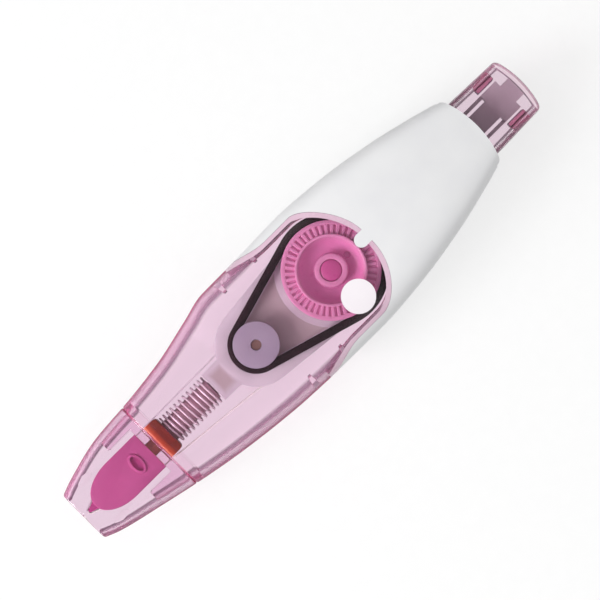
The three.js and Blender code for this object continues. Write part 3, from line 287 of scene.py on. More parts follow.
def turned(name, profile, x, segments):
    """A closed profile of [radius, z] points turned round an upright axis at x."""
    turn = np.linspace(0, 2 * math.pi, segments, endpoint=False)
    profile = np.array(profile, float)
    rings = [
        np.column_stack(
            [x + profile[:, 0] * math.cos(a), profile[:, 0] * math.sin(a), profile[:, 1]]
        )
        for a in turn
    ]
    return loft(name, rings, joined=True)


def filleted(profile, radius):
    """A closed outline with every corner rounded by up to radius."""
    points = [np.array(p, float) for p in profile]
    made = []
    for i, corner in enumerate(points):
        before, after = points[i - 1] - corner, points[(i + 1) % len(points)] - corner
        reach = min(radius, 0.45 * np.linalg.norm(before), 0.45 * np.linalg.norm(after))
        start = corner + before / np.linalg.norm(before) * reach
        end = corner + after / np.linalg.norm(after) * reach
        for t in np.linspace(0, 1, 4):
            made.append((1 - t) ** 2 * start + 2 * t * (1 - t) * corner + t * t * end)
    return made


def bezier(*points, steps=24):
    """A cubic curve from the first to the last of four points, led by the two between."""
    a, b, c, d = (np.array(p, float) for p in points)
    return [
        (1 - t) ** 3 * a + 3 * t * (1 - t) ** 2 * b + 3 * t * t * (1 - t) * c + t**3 * d
        for t in np.linspace(0, 1, steps + 1)
    ]


def arc(x, y, radius, start, end, steps):
    return [
        (x + radius * math.cos(a), y + radius * math.sin(a))
        for a in np.linspace(start, end, steps + 1)
    ]


def ellipse(x, y, half_length, half_width):
    return [
        (x + half_length * math.cos(a), y + half_width * math.sin(a))
        for a in np.linspace(0, 2 * math.pi, 49)[:-1]
    ]


# Materials

def linear(red, green, blue):
    """A screen colour of 0 to 255 as the linear colour that a shader takes."""
    shares = (c / 255 for c in (red, green, blue))
    return tuple(c / 12.92 if c < 0.04045 else ((c + 0.055) / 1.055) ** 2.4 for c in shares) + (1,)


class Nodes:
    """A new material's node tree, with short calls that add to it."""

    def __init__(self, name):
        self.material = bpy.data.materials.new(name)
        self.material.use_nodes = True
        self.tree = self.material.node_tree
        self.tree.nodes.clear()
        self.place = self.add("ShaderNodeTexCoord").outputs["Object"]

    def add(self, kind, values=None, links=None, **settings):
        """A node with plain values and links on its inputs, and its own settings."""
        node = self.tree.nodes.new(kind)
        for name, value in settings.items():
            setattr(node, name, value)
        for socket, value in (values or {}).items():
            node.inputs[socket].default_value = value
        for socket, source in (links or {}).items():
            self.tree.links.new(source, node.inputs[socket])
        return node

    def noise(self, scale, detail=3, roughness=0.5, place=None):
        """Noise of 0 to 1 whose features are about scale millimetres wide."""
        values = {"Scale": 1 / (scale * MM), "Detail": detail, "Roughness": roughness}
        links = {"Vector": place or self.place}
        return self.add("ShaderNodeTexNoise", values, links).outputs["Fac"]

    def span(self, source, low, high, at=(0.3, 0.7)):
        """A value that goes from low to high as the source goes through the range at."""
        values = {"From Min": at[0], "From Max": at[1], "To Min": low, "To Max": high}
        return self.add("ShaderNodeMapRange", values, {"Value": source}).outputs["Result"]

    def mix(self, share, first, second):
        """A colour between two others. Each is a colour or a socket."""
        node = self.add("ShaderNodeMix", links={0: share}, data_type="RGBA")
        for slot, colour in ((6, first), (7, second)):
            if isinstance(colour, tuple):
                node.inputs[slot].default_value = colour
            else:
                self.tree.links.new(colour, node.inputs[slot])
        return node.outputs[2]

    def maths(self, operation, first, second):
        """Two values or sockets put together."""
        node = self.add("ShaderNodeMath", operation=operation)
        for slot, value in enumerate((first, second)):
            if isinstance(value, (int, float)):
                node.inputs[slot].default_value = value
            else:
                self.tree.links.new(value, node.inputs[slot])
        return node.outputs[0]

    def part(self, axis, vector=None):
        """One coordinate of a vector, which is the place itself if none is given."""
        links = {"Vector": vector or self.place}
        return self.add("ShaderNodeSeparateXYZ", links=links).outputs[axis]

    def bump(self, source, depth):
        """Relief of depth millimetres from a height of 0 to 1."""
        values = {"Strength": 1.0, "Distance": depth * MM}
        return self.add("ShaderNodeBump", values, {"Height": source}).outputs["Normal"]

    def finish(self, surface, volume=None):
        output = self.add("ShaderNodeOutputMaterial", links={"Surface": surface})
        if volume:
            self.tree.links.new(volume, output.inputs["Volume"])
        return self.material


def moulded(
    name, colour, shade, roughness, grain=0.35, depth=0.004, glow=0.0, painted_shade_and_tone=None, gloss=0.5
):
    """Moulded plastic: faint flow colour, spark-eroded grain of depth millimetres and uneven
    polish. glow is how much light goes on under the surface, and gloss how much it mirrors.
    painted_shade_and_tone is a colour and the heights in millimetres between which it takes
    over, from the first to the second: painted shade that darkens recesses in most materials,
    and a second colour of the parts in the grey lilac."""
    nodes = Nodes(name)
    flow = nodes.span(nodes.noise(7, 2), 0, 1)
    fine = nodes.noise(grain, 4, 0.6)
    scuff = nodes.noise(1.8, 5, 0.65)
    tone = nodes.mix(flow, colour, shade)
    # Colour by height: painted shade where it darkens a recess, the parts' own second colour in the
    # grey lilac
    if painted_shade_and_tone:
        other, start, end = painted_shade_and_tone
        height = nodes.maths("MULTIPLY", nodes.part("Z"), 1 / MM)
        tone = nodes.mix(nodes.span(height, 0, 1, (start, end)), tone, other)
    links = {
        "Base Color": tone,
        "Roughness": nodes.span(scuff, roughness - 0.05, roughness + 0.07),
        "Normal": nodes.bump(fine, depth),
    }
    values = {"Specular IOR Level": gloss}
    if glow:
        values |= {
            "Subsurface Weight": glow,
            "Subsurface Radius": (1.0, 0.45, 0.6),
            "Subsurface Scale": 1.2 * MM,
        }
    shader = nodes.add("ShaderNodeBsdfPrincipled", values, links)
    return nodes.finish(shader.outputs[0])


# How edge on a face of clear plastic is seen, from 0 to 1, where each edge colour comes in,
# and how much of it shows at most. The edge colours are painted light and shade.
OUTSIDE_FADE, OUTSIDE_MOST = (0.5, 0.85), 0.8
HOLLOW_FADE, HOLLOW_MOST = (0.25, 0.60), 0.7
INSIDE_FADE, INSIDE_MOST = (0.10, 0.24), 0.5
TRAPPED_FADE = (0.35, 0.70)

# Where the joint's line fades on either side of it, and between which distances from the long
# axis it grows stronger
JOINT_LINE = (0.2 * MM, 0.4 * MM)
JOINT_SIDES = (5 * MM, 11 * MM)

CLEAR_POLISH = (0.012, 0.036)
CLEAR_WAVES = 0.012
PLASTIC_IOR = 1.49


def joint_share(nodes):
    """How far the joint between the nose and the barrel shows in the edge colour: most at its
    ends, where it turns down the sides."""
    joint = (NOSE_LENGTH + SEAM_GAP / 2 - LENGTH / 2) * MM
    away = nodes.maths("ABSOLUTE", nodes.maths("SUBTRACT", nodes.part("X"), joint), 0)
    aside = nodes.maths("ABSOLUTE", nodes.part("Y"), 0)
    strength = nodes.span(aside, 0.3, 0.8, JOINT_SIDES)
    return nodes.maths("MULTIPLY", nodes.span(away, 1, 0, JOINT_LINE), strength)


def clear(name, tint, edges, colour, density):
    """Clear tinted plastic. It takes its colour at its surface and from the depth of plastic
    that light crosses. edges are four colours of painted light and shade, put on as a flat
    colour where it is seen edge on: on its outside, on a wall's inner face seen through the
    wall, where light stays caught in a wall, and on a wall's inner face seen across the
    hollow. Lamps shine through."""
    nodes = Nodes(name)
    relief = nodes.bump(nodes.noise(5, 1), CLEAR_WAVES)
    links = {"Roughness": nodes.span(nodes.noise(1.1, 4, 0.6), *CLEAR_POLISH), "Normal": relief}
    values = {"Base Color": tint, "Transmission Weight": 1.0, "IOR": PLASTIC_IOR}
    glass = nodes.add("ShaderNodeBsdfPrincipled", values, links)

    outside, inside, trapped, hollow = edges
    facing = nodes.add("ShaderNodeLayerWeight", {"Blend": 0.5}).outputs["Facing"]
    geometry = nodes.add("ShaderNodeNewGeometry").outputs
    within = geometry["Backfacing"]
    outwards = nodes.maths("MULTIPLY", nodes.part("Y"), nodes.part("Y", geometry["Normal"]))
    inwards = nodes.maths("LESS_THAN", outwards, 0)
    outer = nodes.mix(inwards, outside, hollow)
    inner = nodes.mix(nodes.span(facing, 0, 1, TRAPPED_FADE), inside, trapped)
    # A flat colour where the plastic is seen edge on: painted light and shade
    rim = nodes.add("ShaderNodeBsdfDiffuse", links={
        "Color": nodes.mix(within, outer, inner), "Normal": relief,
    })
    share = nodes.span(facing, 0, OUTSIDE_MOST, OUTSIDE_FADE)
    share = nodes.maths("MAXIMUM", share, joint_share(nodes))
    hollow_share = nodes.maths("MULTIPLY", nodes.span(facing, 0, HOLLOW_MOST, HOLLOW_FADE), inwards)
    share = nodes.maths("SUBTRACT", nodes.maths("MAXIMUM", share, hollow_share), within)
    inner_share = nodes.maths("MULTIPLY", nodes.span(facing, 0, INSIDE_MOST, INSIDE_FADE), within)
    share = nodes.maths("MAXIMUM", share, inner_share)
    body = nodes.add("ShaderNodeMixShader", links={
        0: share, 1: glass.outputs[0], 2: rim.outputs[0],
    })

    open_to_lamps = nodes.add("ShaderNodeBsdfTransparent", {"Color": (0.96, 0.96, 0.96, 1)})
    path = nodes.add("ShaderNodeLightPath").outputs
    mixed = nodes.add("ShaderNodeMixShader", links={
        0: path["Is Shadow Ray"], 1: body.outputs[0], 2: open_to_lamps.outputs[0],
    })
    volume = nodes.add("ShaderNodeVolumeAbsorption", {"Color": colour, "Density": density})
    return nodes.finish(mixed.outputs[0], volume.outputs[0])


# Painted light and shade for clear plastic seen edge on: outside, inner face through the wall,
# light caught in a wall, inner face across the hollow
BARREL_PAINTED_EDGES = (
    linear(176, 72, 114), linear(214, 176, 202), linear(226, 160, 190), linear(136, 108, 132)
)
BUTTON_PAINTED_EDGES = (
    linear(216, 198, 206), linear(228, 208, 220), linear(214, 168, 190), linear(176, 152, 170)
)
CLEAR_PINK = clear(
    "clear_pink_plastic", (1, 0.92, 0.98, 1), BARREL_PAINTED_EDGES, (0.8, 0.2, 0.5, 1), density=70
)
CLEAR_BUTTON = clear(
    "clear_button_plastic", (0.95, 0.87, 0.92, 1), BUTTON_PAINTED_EDGES, (0.76, 0.3, 0.5, 1), density=36
)
CLEAR_RIB = clear(
    "clear_rib_plastic", (0.98, 0.9, 0.94, 1), BARREL_PAINTED_EDGES, (0.7, 0.2, 0.42, 1), density=290
)
WHITE = moulded(
    "white_cover_plastic", linear(243, 243, 244), linear(239, 239, 241),
    roughness=0.34, grain=0.3, depth=0.003,
)
# Turning to a darker pink below 15.7 mm, down in the dish and between the teeth: painted shade
WHEEL_PINK = moulded(
    "wheel_pink_plastic", linear(230, 164, 200), linear(224, 156, 194),
    roughness=0.3, grain=0.4, depth=0.003, glow=0.1, painted_shade_and_tone=(linear(222, 138, 188), 15.7, 14.2),
)
# Darker below 11.7 mm, in the boss's recess and on the lower faces: painted shade
HEAD_PINK = moulded(
    "head_pink_plastic", linear(190, 90, 148), linear(182, 81, 140),
    roughness=0.4, glow=0.1, painted_shade_and_tone=(linear(180, 64, 134), 11.74, 11.66),
)
HUB_PINK = moulded(
    "hub_pink_plastic", linear(204, 96, 158), linear(198, 88, 150), roughness=0.3, depth=0.003
)
LILAC = moulded("lilac_plastic", linear(172, 168, 182), linear(164, 160, 176), roughness=0.38)
# Darker on the deck's lower field, below 12.3 mm: painted shade
DECK_LILAC = moulded(
    "deck_lilac_plastic", linear(214, 212, 216), linear(206, 204, 209),
    roughness=0.42, painted_shade_and_tone=(linear(186, 176, 176), 12.28, 12.02),
)
GREY_LILAC = moulded(
    "grey_lilac_plastic", linear(216, 206, 216), linear(208, 198, 208),
    roughness=0.42, painted_shade_and_tone=(linear(122, 98, 86), 12.6, 13.0),
)
ROD_LILAC = moulded(
    "rod_lilac_plastic", linear(198, 182, 192), linear(188, 170, 181), roughness=0.42
)
RUBBER = moulded(
    "belt_rubber", linear(36, 16, 25), linear(28, 12, 19),
    roughness=0.8, grain=0.15, depth=0.01, gloss=0.15,
)
FILM = moulded(
    "tape_film", linear(244, 242, 238), linear(236, 233, 228),
    roughness=0.7, grain=0.2, depth=0.008,
)
RIBBON = moulded(
    "bare_ribbon", linear(216, 207, 214), linear(206, 196, 206),
    roughness=0.3, grain=0.6, depth=0.002,
)
RIM_PINK = moulded(
    "window_rim_plastic", linear(232, 200, 218), linear(224, 188, 208),
    roughness=0.25, grain=0.6, depth=0.003,
)
PRINT_WHITE = moulded(
    "print_white", linear(252, 246, 250), linear(248, 240, 246), roughness=0.5, grain=0.2
)


def graded(name, stops, roughness):
    """Moulded plastic whose colour changes along the body, from stops of x and a colour."""
    nodes = Nodes(name)
    from_front = nodes.maths("ADD", nodes.maths("MULTIPLY", nodes.part("X"), 1 / MM), LENGTH / 2)
    place = nodes.maths("ADD", from_front, nodes.maths("MULTIPLY", nodes.noise(0.9, 4), 0.5))
    tone = stops[0][1]
    for (start, _), (end, colour) in zip(stops, stops[1:]):
        tone = nodes.mix(nodes.span(place, 0, 1, (start, end)), tone, colour)
    links = {
        "Base Color": tone,
        "Roughness": nodes.span(nodes.noise(1.8, 5), roughness - 0.05, roughness + 0.1),
        "Normal": nodes.bump(nodes.noise(0.4, 4), 0.006),
    }
    return nodes.finish(nodes.add("ShaderNodeBsdfPrincipled", links=links).outputs[0])


# Orange with a painted highlight along the seat's front edge, darkening to brown towards the spring
# in painted shade
ORANGE_PAINTED_LIGHT_AND_SHADE = graded("orange_painted_light_and_shade", [
    (23.0, linear(255, 176, 136)), (23.4, linear(196, 80, 36)), (24.4, linear(120, 38, 14)),
], 0.42)
SHAFT_MAUVE = graded("shaft_mauve_plastic", [
    (25.9, linear(190, 132, 112)), (26.4, linear(182, 146, 158)),
], 0.45)


def wound(name, colour, shade, pitch):
    """Film wound on a core: fine rings on its faces, one for each turn."""
    nodes = Nodes(name)
    across = nodes.maths("SUBTRACT", nodes.part("X"), (SUPPLY_X - LENGTH / 2) * MM)
    flat = nodes.add("ShaderNodeCombineXYZ", links={"X": across, "Y": nodes.part("Y")})
    away = nodes.add("ShaderNodeVectorMath", links={0: flat.outputs[0]}, operation="LENGTH")
    turns = nodes.maths("MULTIPLY", away.outputs["Value"], 2 * math.pi / (pitch * MM))
    share = nodes.span(nodes.maths("SINE", turns, 0), 0, 1, (-1, 1))
    links = {
        "Base Color": nodes.mix(share, colour, shade),
        "Roughness": nodes.span(nodes.noise(1.2, 4), 0.55, 0.75),
        "Normal": nodes.bump(share, 0.01),
    }
    return nodes.finish(nodes.add("ShaderNodeBsdfPrincipled", links=links).outputs[0])


WOUND_FILM = wound("wound_film", linear(242, 240, 236), linear(224, 220, 220), 0.3)


def drawn_wire(name):
    """Spring wire with long drawing marks."""
    nodes = Nodes(name)
    stretched = nodes.add(
        "ShaderNodeMapping", {"Scale": (1, 6, 6)}, {"Vector": nodes.place}
    ).outputs[0]
    marks = nodes.noise(1.2, 5, 0.7, stretched)
    links = {
        "Base Color": nodes.mix(
            nodes.span(marks, 0, 1), linear(244, 232, 238), linear(224, 210, 218)
        ),
        "Roughness": nodes.span(marks, 0.34, 0.5),
        "Normal": nodes.bump(marks, 0.004),
    }
    values = {"Metallic": 0.3}
    return nodes.finish(nodes.add("ShaderNodeBsdfPrincipled", values, links).outputs[0])


STEEL = drawn_wire("spring_steel_wire")


def smoothing_group():
    """A node group that shades a mesh smooth except at its hard edges."""
    group = bpy.data.node_groups.new("smooth_by_angle", "GeometryNodeTree")
    group.interface.new_socket("Geometry", in_out="INPUT", socket_type="NodeSocketGeometry")
    group.interface.new_socket("Geometry", in_out="OUTPUT", socket_type="NodeSocketGeometry")
    nodes, links = group.nodes, group.links
    start, end = nodes.new("NodeGroupInput"), nodes.new("NodeGroupOutput")
    faces = nodes.new("GeometryNodeSetShadeSmooth")
    edges = nodes.new("GeometryNodeSetShadeSmooth")
    edges.domain = "EDGE"
    edges.inputs["Shade Smooth"].default_value = False
    angle = nodes.new("GeometryNodeInputMeshEdgeAngle")
    hard = nodes.new("FunctionNodeCompare")
    hard.operation = "GREATER_THAN"
    hard.inputs[1].default_value = math.radians(30)
    links.new(angle.outputs["Unsigned Angle"], hard.inputs[0])
    links.new(hard.outputs[0], edges.inputs["Selection"])
    links.new(start.outputs[0], faces.inputs["Geometry"])
    links.new(faces.outputs[0], edges.inputs["Geometry"])
    links.new(edges.outputs[0], end.inputs[0])
    return group


SMOOTHING = smoothing_group()


def dress(name, material, bevel=0.0):
    """A CAD node that stays: its material, and edges softened by bevel millimetres."""
    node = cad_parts[name]
    for slot in node.material_slots:
        slot.material = material
    weld = node.modifiers.new("weld", "WELD")
    weld.merge_threshold = 1e-6
    if bevel:
        softened = node.modifiers.new("bevel", "BEVEL")
        softened.width = bevel * MM
        softened.segments = 2
        softened.angle_limit = math.radians(35)
    smooth = node.modifiers.new("smooth", "NODES")
    smooth.node_group = SMOOTHING
    return node


def fitted(piece, material, body, slot, *nodes):
    """A new piece: its material, the body it rides on and the nodes that it stands for."""
    piece.data.materials.clear()
    piece.data.materials.append(material)
    if nodes:
        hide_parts(*nodes)
    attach(piece, body)
    return piece


# Housing and button

# The pads under the nose's top, the webs in the barrel's sides, and what enters the nose
PAD_X, PAD_Y = 5.9, 5.6
PAD_HALF_LENGTH, PAD_HALF_WIDTH, PAD_DEPTH = 2.0, 0.75, 0.4
WEB_PLACES = (TAKEUP_X + 1.8, TAKEUP_X + 11.0)
WEB_REACH, WEB_DEPTH = 2.2, 4
SPIGOT_WALL, SPIGOT_LENGTH = 0.75, 2
TONGUE_LENGTH, TONGUE_FROM_AXIS = 8.4, 6.3

# The rib that holds the spring seat, and the cassette's two rails
SEAT_X, SEAT_END_X, SEAT_HALF_WIDTH = 22.8, 25.8, 2.15
RAIL_X, RAIL_END_X, RAIL_Y, RAIL_HALF_WIDTH = 44.1, 77.9, 6, 0.6

# The white cover's front edge: the ends of its side strips, its waist, its shoulder, and the
# rear of the window with the pointer tab. The window is fuller on the -y side.
STRIP_X, WAIST_X = SUPPLY_X - 15.2, SUPPLY_X - 5.8
SHOULDER_X, WINDOW_X = SUPPLY_X + 1.3, SUPPLY_X + 10.7
SHOULDER_HALF_WIDTH = 14.45
WAIST_REACH, SHOULDER_REACH = 3.2, 3.4
WINDOW_BULGES = (7.0, 9.4)
TAB_RADIUS = 1.6

# The barrel's lip under the cover, the step in the cover that takes it, and the cover's inside
LIP_LENGTH, LIP_INSET = 3, 0.9
STEP_INSET = 0.7
COVER_HOLLOW_END = 115.6
BUTTON_SLOT_X = 112.5

BUTTON_REACH = 13.7
BUTTON_HALF_WIDTH, BUTTON_HALF_HEIGHT = 7.5, 4.1
BUTTON_WALL = 1.1
BUTTON_Z = 9.25
BUTTON_BOW = 1.2

# Further out than any part of the body
BEYOND = 40


def nose_shell():
    """The clear nose, one wall bent round both of its rims, with two pads under its top."""
    soft = 0.35
    outside = soft_ends(0, NOSE_LENGTH, soft, soft, 0.5)
    inside = [(x, NOSE_WALL - more) for x, more in outside]
    rings = [skin_ring(x, more) for x, more in outside + inside[::-1]]
    shell = loft("nose_shell", rings, joined=True)
    ceiling = high_at(PAD_X) - NOSE_WALL
    for side in (1, -1):
        lens = ellipse(PAD_X, side * PAD_Y, PAD_HALF_LENGTH, PAD_HALF_WIDTH)
        join(shell, prism("pad", lens, ceiling - PAD_DEPTH, ceiling + NOSE_WALL / 2))
    return shell


def cover_plan(grow, with_tab):
    """The plan area that the white cover takes, made larger all round by grow."""
    far, wide = LENGTH + BODY_HALF_WIDTH, 2 * BODY_HALF_WIDTH
    strip_x, waist_x, shoulder_x, window_x = (
        x - grow for x in (STRIP_X, WAIST_X, SHOULDER_X, WINDOW_X)
    )
    strip_y, shoulder_y = BODY_HALF_WIDTH - grow, SHOULDER_HALF_WIDTH - grow
    flare_y = (strip_y * 3 + shoulder_y) / 4
    tab_y = TAB_RADIUS + grow if with_tab else 0
    waist = bezier(
        (strip_x, strip_y),
        (strip_x + WAIST_REACH, flare_y),
        (waist_x - WAIST_REACH, shoulder_y),
        (waist_x, shoulder_y),
    )
    side, other = (
        waist + bezier(
            (shoulder_x, shoulder_y),
            (shoulder_x + SHOULDER_REACH, shoulder_y),
            (window_x, bulge),
            (window_x, tab_y),
        )
        for bulge in WINDOW_BULGES
    )
    other = [(x, -y) for x, y in other[::-1]]
    if with_tab:
        side += arc(window_x - TAB_RADIUS, 0, tab_y, math.pi / 2, 1.5 * math.pi, 16)
    else:
        other = other[1:]
    return [(far, -wide), (far, wide), (strip_x, wide)] + side + other + [(strip_x, -wide)]


def upper_half(shell):
    low = SPLIT_Z + SEAM_GAP / 2
    return cut(shell, box("below", -1, LENGTH, -BEYOND, BEYOND, -BEYOND, low))


def lower_half(shell):
    high = SPLIT_Z - SEAM_GAP / 2
    return cut(shell, box("above", -1, LENGTH, -BEYOND, BEYOND, high, 1.5 * BEYOND))


def barrel(name):
    """The clear barrel, the spigot and side tongues in the nose, and the lip under the cover."""
    start = NOSE_LENGTH + SEAM_GAP
    shell = cut(
        skin(name, 0, start, BARREL_END_X, 0.3, 0),
        skin("hollow", SHELL_WALL, start - 1, BARREL_END_X + 1),
    )
    inset = NOSE_WALL + FIT_GAP
    root_end, bore_end = start + SPIGOT_LENGTH, start + 2 * SPIGOT_LENGTH
    collar = cut(
        join(
            skin("root", SHELL_WALL / 2, start, root_end),
            skin("spigot", inset, NOSE_LENGTH - SPIGOT_LENGTH, root_end, 0.2, 0),
        ),
        skin("bore", inset + SPIGOT_WALL, NOSE_LENGTH - 2 * SPIGOT_LENGTH, bore_end),
    )
    tongues = cut(
        skin("tongues", inset, NOSE_LENGTH - TONGUE_LENGTH, root_end, 0.2, 0),
        skin("bore", inset + SPIGOT_WALL, NOSE_LENGTH - 2 * TONGUE_LENGTH, bore_end),
        box("between", 0, LENGTH, -TONGUE_FROM_AXIS, TONGUE_FROM_AXIS, -1, BODY_HEIGHT),
    )
    under_cover = cut(
        throughout("under_cover", cover_plan(SEAM_GAP, True)),
        skin("lip", LIP_INSET, NOSE_LENGTH, BARREL_END_X + 1),
    )
    join(shell, collar, tongues)
    return cut(shell, under_cover, throughout("behind", cover_plan(-LIP_LENGTH, False)))


def seat_rib(z0, z1):
    return box("rib", SEAT_X, SEAT_END_X, -SEAT_HALF_WIDTH, SEAT_HALF_WIDTH, z0, z1)


def side_webs():
    """Slanted webs inside the sides of the clear barrel."""
    webs = []
    for x in WEB_PLACES:
        wall = left_at(x)
        inside = wall - SHELL_WALL - WEB_REACH
        corners = ((0, wall), (1.2, inside), (1.9, inside), (2.2, wall))
        for side in (1, -1):
            core = skin("core", SHELL_WALL / 2, NOSE_LENGTH, SUPPLY_X)
            plan = [(x + along, side * y) for along, y in corners]
            web = prism("web", plan, high_at(x) - SHELL_WALL - WEB_DEPTH, BODY_HEIGHT)
            webs.append(keep(web, core))
    return webs


def barrel_upper():
    shell = upper_half(barrel("barrel_upper"))
    return join(shell, seat_rib(12.4, high_at(SEAT_X) - SHELL_WALL / 2), *side_webs())


def barrel_lower():
    shell = lower_half(barrel("barrel_lower"))
    rails = [
        box("rail", RAIL_X, RAIL_END_X, y - RAIL_HALF_WIDTH, y + RAIL_HALF_WIDTH, 0.7, 2.4)
        for y in (-RAIL_Y, RAIL_Y)
    ]
    return join(shell, seat_rib(low_at(SEAT_X) + SHELL_WALL / 2, 3.4), *rails)


def button_ring(x, grow, rounding):
    """The button's outline. Its sides fall back as x grows, so that the end is bowed."""
    share = min(max((x - COVER_END_X) / BUTTON_REACH, 0), 1)
    half_width = BUTTON_HALF_WIDTH - 0.4 * share + grow - rounding
    half_height = BUTTON_HALF_HEIGHT - 0.2 * share + grow - rounding
    low, high = BUTTON_Z - half_height, BUTTON_Z + half_height
    ring = rounded_ring(x, half_width, half_width, low, high, 6, low)
    ring[:, 0] -= BUTTON_BOW * share**2 * (ring[:, 1] / BUTTON_HALF_WIDTH) ** 2
    return ring


def cover_end_plan():
    """The cover's plan, which ends in a shallow arc round the button."""
    side_x = COVER_END_X - 1.8
    side_y = left_at(side_x)
    wide = 2 * BODY_HALF_WIDTH
    near, far = side_x + 0.45, COVER_END_X + 0.5
    corner = bezier(
        (side_x - 1, -side_y),
        (side_x - 0.3, -side_y),
        (side_x + 0.1, 0.2 - side_y),
        (near, 1 - side_y),
        steps=8,
    )
    end = bezier((near, 1 - side_y), (far, -side_y / 3), (far, side_y / 3), (near, side_y - 1))
    other_corner = [(x, -y) for x, y in corner[::-1]]
    outline = corner + end[1:] + other_corner[1:]
    return [(0, -wide), (side_x - side_y, -wide), *outline, (side_x - side_y, wide), (0, wide)]


def cover(name):
    """The white cover, with a step over the barrel's lip and a slot for the button."""
    start, end = SUPPLY_X - 17.8, COVER_END_X + 1
    step = cut(
        skin("step", STEP_INSET, start - 1, BARREL_END_X + LIP_LENGTH),
        throughout("step_plan", cover_plan(-LIP_LENGTH - FIT_GAP, False)),
    )
    slot_rings = [button_ring(x, FIT_GAP, 0) for x in np.linspace(BUTTON_SLOT_X, end, 8)]
    slot = loft("slot", slot_rings, bowed=True)
    shell = keep(
        skin(name, 0, start, end),
        throughout("plan", cover_plan(0, True)),
        throughout("end_plan", cover_end_plan()),
    )
    return cut(shell, skin("hollow", SHELL_WALL, start - 1, COVER_HOLLOW_END), step, slot)


def cover_upper():
    return upper_half(cover("cover_upper"))


def cover_lower():
    return lower_half(cover("cover_lower"))


def button_shell():
    """The hollow button, rounded at its end, with a lip at its front that the cover holds."""
    start, soft = COVER_END_X - 6.4, 1.0
    rings = [button_ring(x, 0, 0) for x in np.linspace(start, LENGTH - soft, 24)[:-1]]
    rings += [
        button_ring(LENGTH - soft + soft * math.sin(a), 0, soft * (1 - math.cos(a)))
        for a in np.radians([0, 15, 30, 45, 60, 75, 90])
    ]
    shell = loft("button_shell", rings, bowed=True)
    inside = [button_ring(x, -BUTTON_WALL, 0) for x in np.linspace(start - 1, LENGTH - 1.3, 20)]
    cut(shell, loft("hollow", inside, bowed=True))
    for side in (-1, 1):
        z0, z1 = sorted((BUTTON_Z + side * 3.55, BUTTON_Z + side * 4.7))
        join(shell, box("lip", 113.4, 115.3, -5.5, 5.5, z0, z1))
    return shell


def button_rib(side):
    """One of the two solid ribs inside the button, clear of its walls by a hair."""
    reach = BUTTON_HALF_HEIGHT - BUTTON_WALL - 0.02
    y0, y1 = sorted((side * 4.5, side * 6.15))
    z0, z1 = BUTTON_Z - reach, BUTTON_Z + reach
    return bevelled(box("button_rib", LENGTH - 8.6, LENGTH - 4.0, y0, y1, z0, z1), 0.25)


def on_skin(plan, x0, x1, thickness):
    """A thin layer over the housing's skin, between x0 and x1, within an upright plan."""
    keep(plan, skin("layer", -thickness, x0, x1))
    foot = skin("foot", -0.006, x0 - 1, x1 + 1)
    return cut(plan, foot, box("lower", 0, LENGTH, -BEYOND, BEYOND, -2, SPLIT_Z + 0.3))


def window_rim():
    """The pale rim of the clear barrel along the white cover's edge."""
    plan = cut(
        throughout("window_rim", cover_plan(0.95, False)),
        throughout("covered", cover_plan(0.06, True)),
    )
    return on_skin(plan, 50, 100, 0.03)


def round_mark():
    """A plain white disc printed on the window beside the winder wheel."""
    plan = throughout("round_mark", arc(75.1, -8.07, 3.77, 0, 2 * math.pi, 96)[:-1])
    return on_skin(plan, 70, 80, 0.04)


# Cassette and spring

# The head's bullet-shaped side plates, and the wedge between them that leads the tape
PLATE_X, PLATE_HALF_WIDTH = 3.4, 4.85
PLATES = ((4.0, 4.6), (11.2, 11.8))
CURVE_LENGTH = 8.0
WEDGE_X, TIP_RADIUS = 1.55, 0.45
NECK_LENGTH, NECK_HALF_WIDTH, WEDGE_HALF_WIDTH = 3.0, 1.4, 4.1
BOSS_X = 16.1

BELT_SMALL_RADIUS, BELT_LARGE_RADIUS, BELT_CORD_RADIUS = 5.3, 11.5, 0.9
TEETH, STEPS_PER_TOOTH, TOOTH_DEPTH = 45, 12, 0.5
SPRING_TURNS, SPRING_WIRE, SPRING_RADIUS = 11, 0.45, 3.37


def plate_half_width(distance):
    share = min(max(distance / CURVE_LENGTH, 0), 1)
    return PLATE_HALF_WIDTH * (0.98 * math.sqrt(1 - (1 - share) ** 2) + 0.02)


def wedge_half_width(x):
    neck = WEDGE_X + NECK_LENGTH
    if x < neck:
        share = (x - WEDGE_X - TIP_RADIUS) / (NECK_LENGTH - TIP_RADIUS)
        return TIP_RADIUS + (NECK_HALF_WIDTH - TIP_RADIUS) * share
    share = min(max((x - neck) / CURVE_LENGTH, 0), 1)
    return NECK_HALF_WIDTH + (WEDGE_HALF_WIDTH - NECK_HALF_WIDTH) * math.sin(share * math.pi / 2)


def mirrored(side):
    return side + [(x, -y) for x, y in side[::-1]]


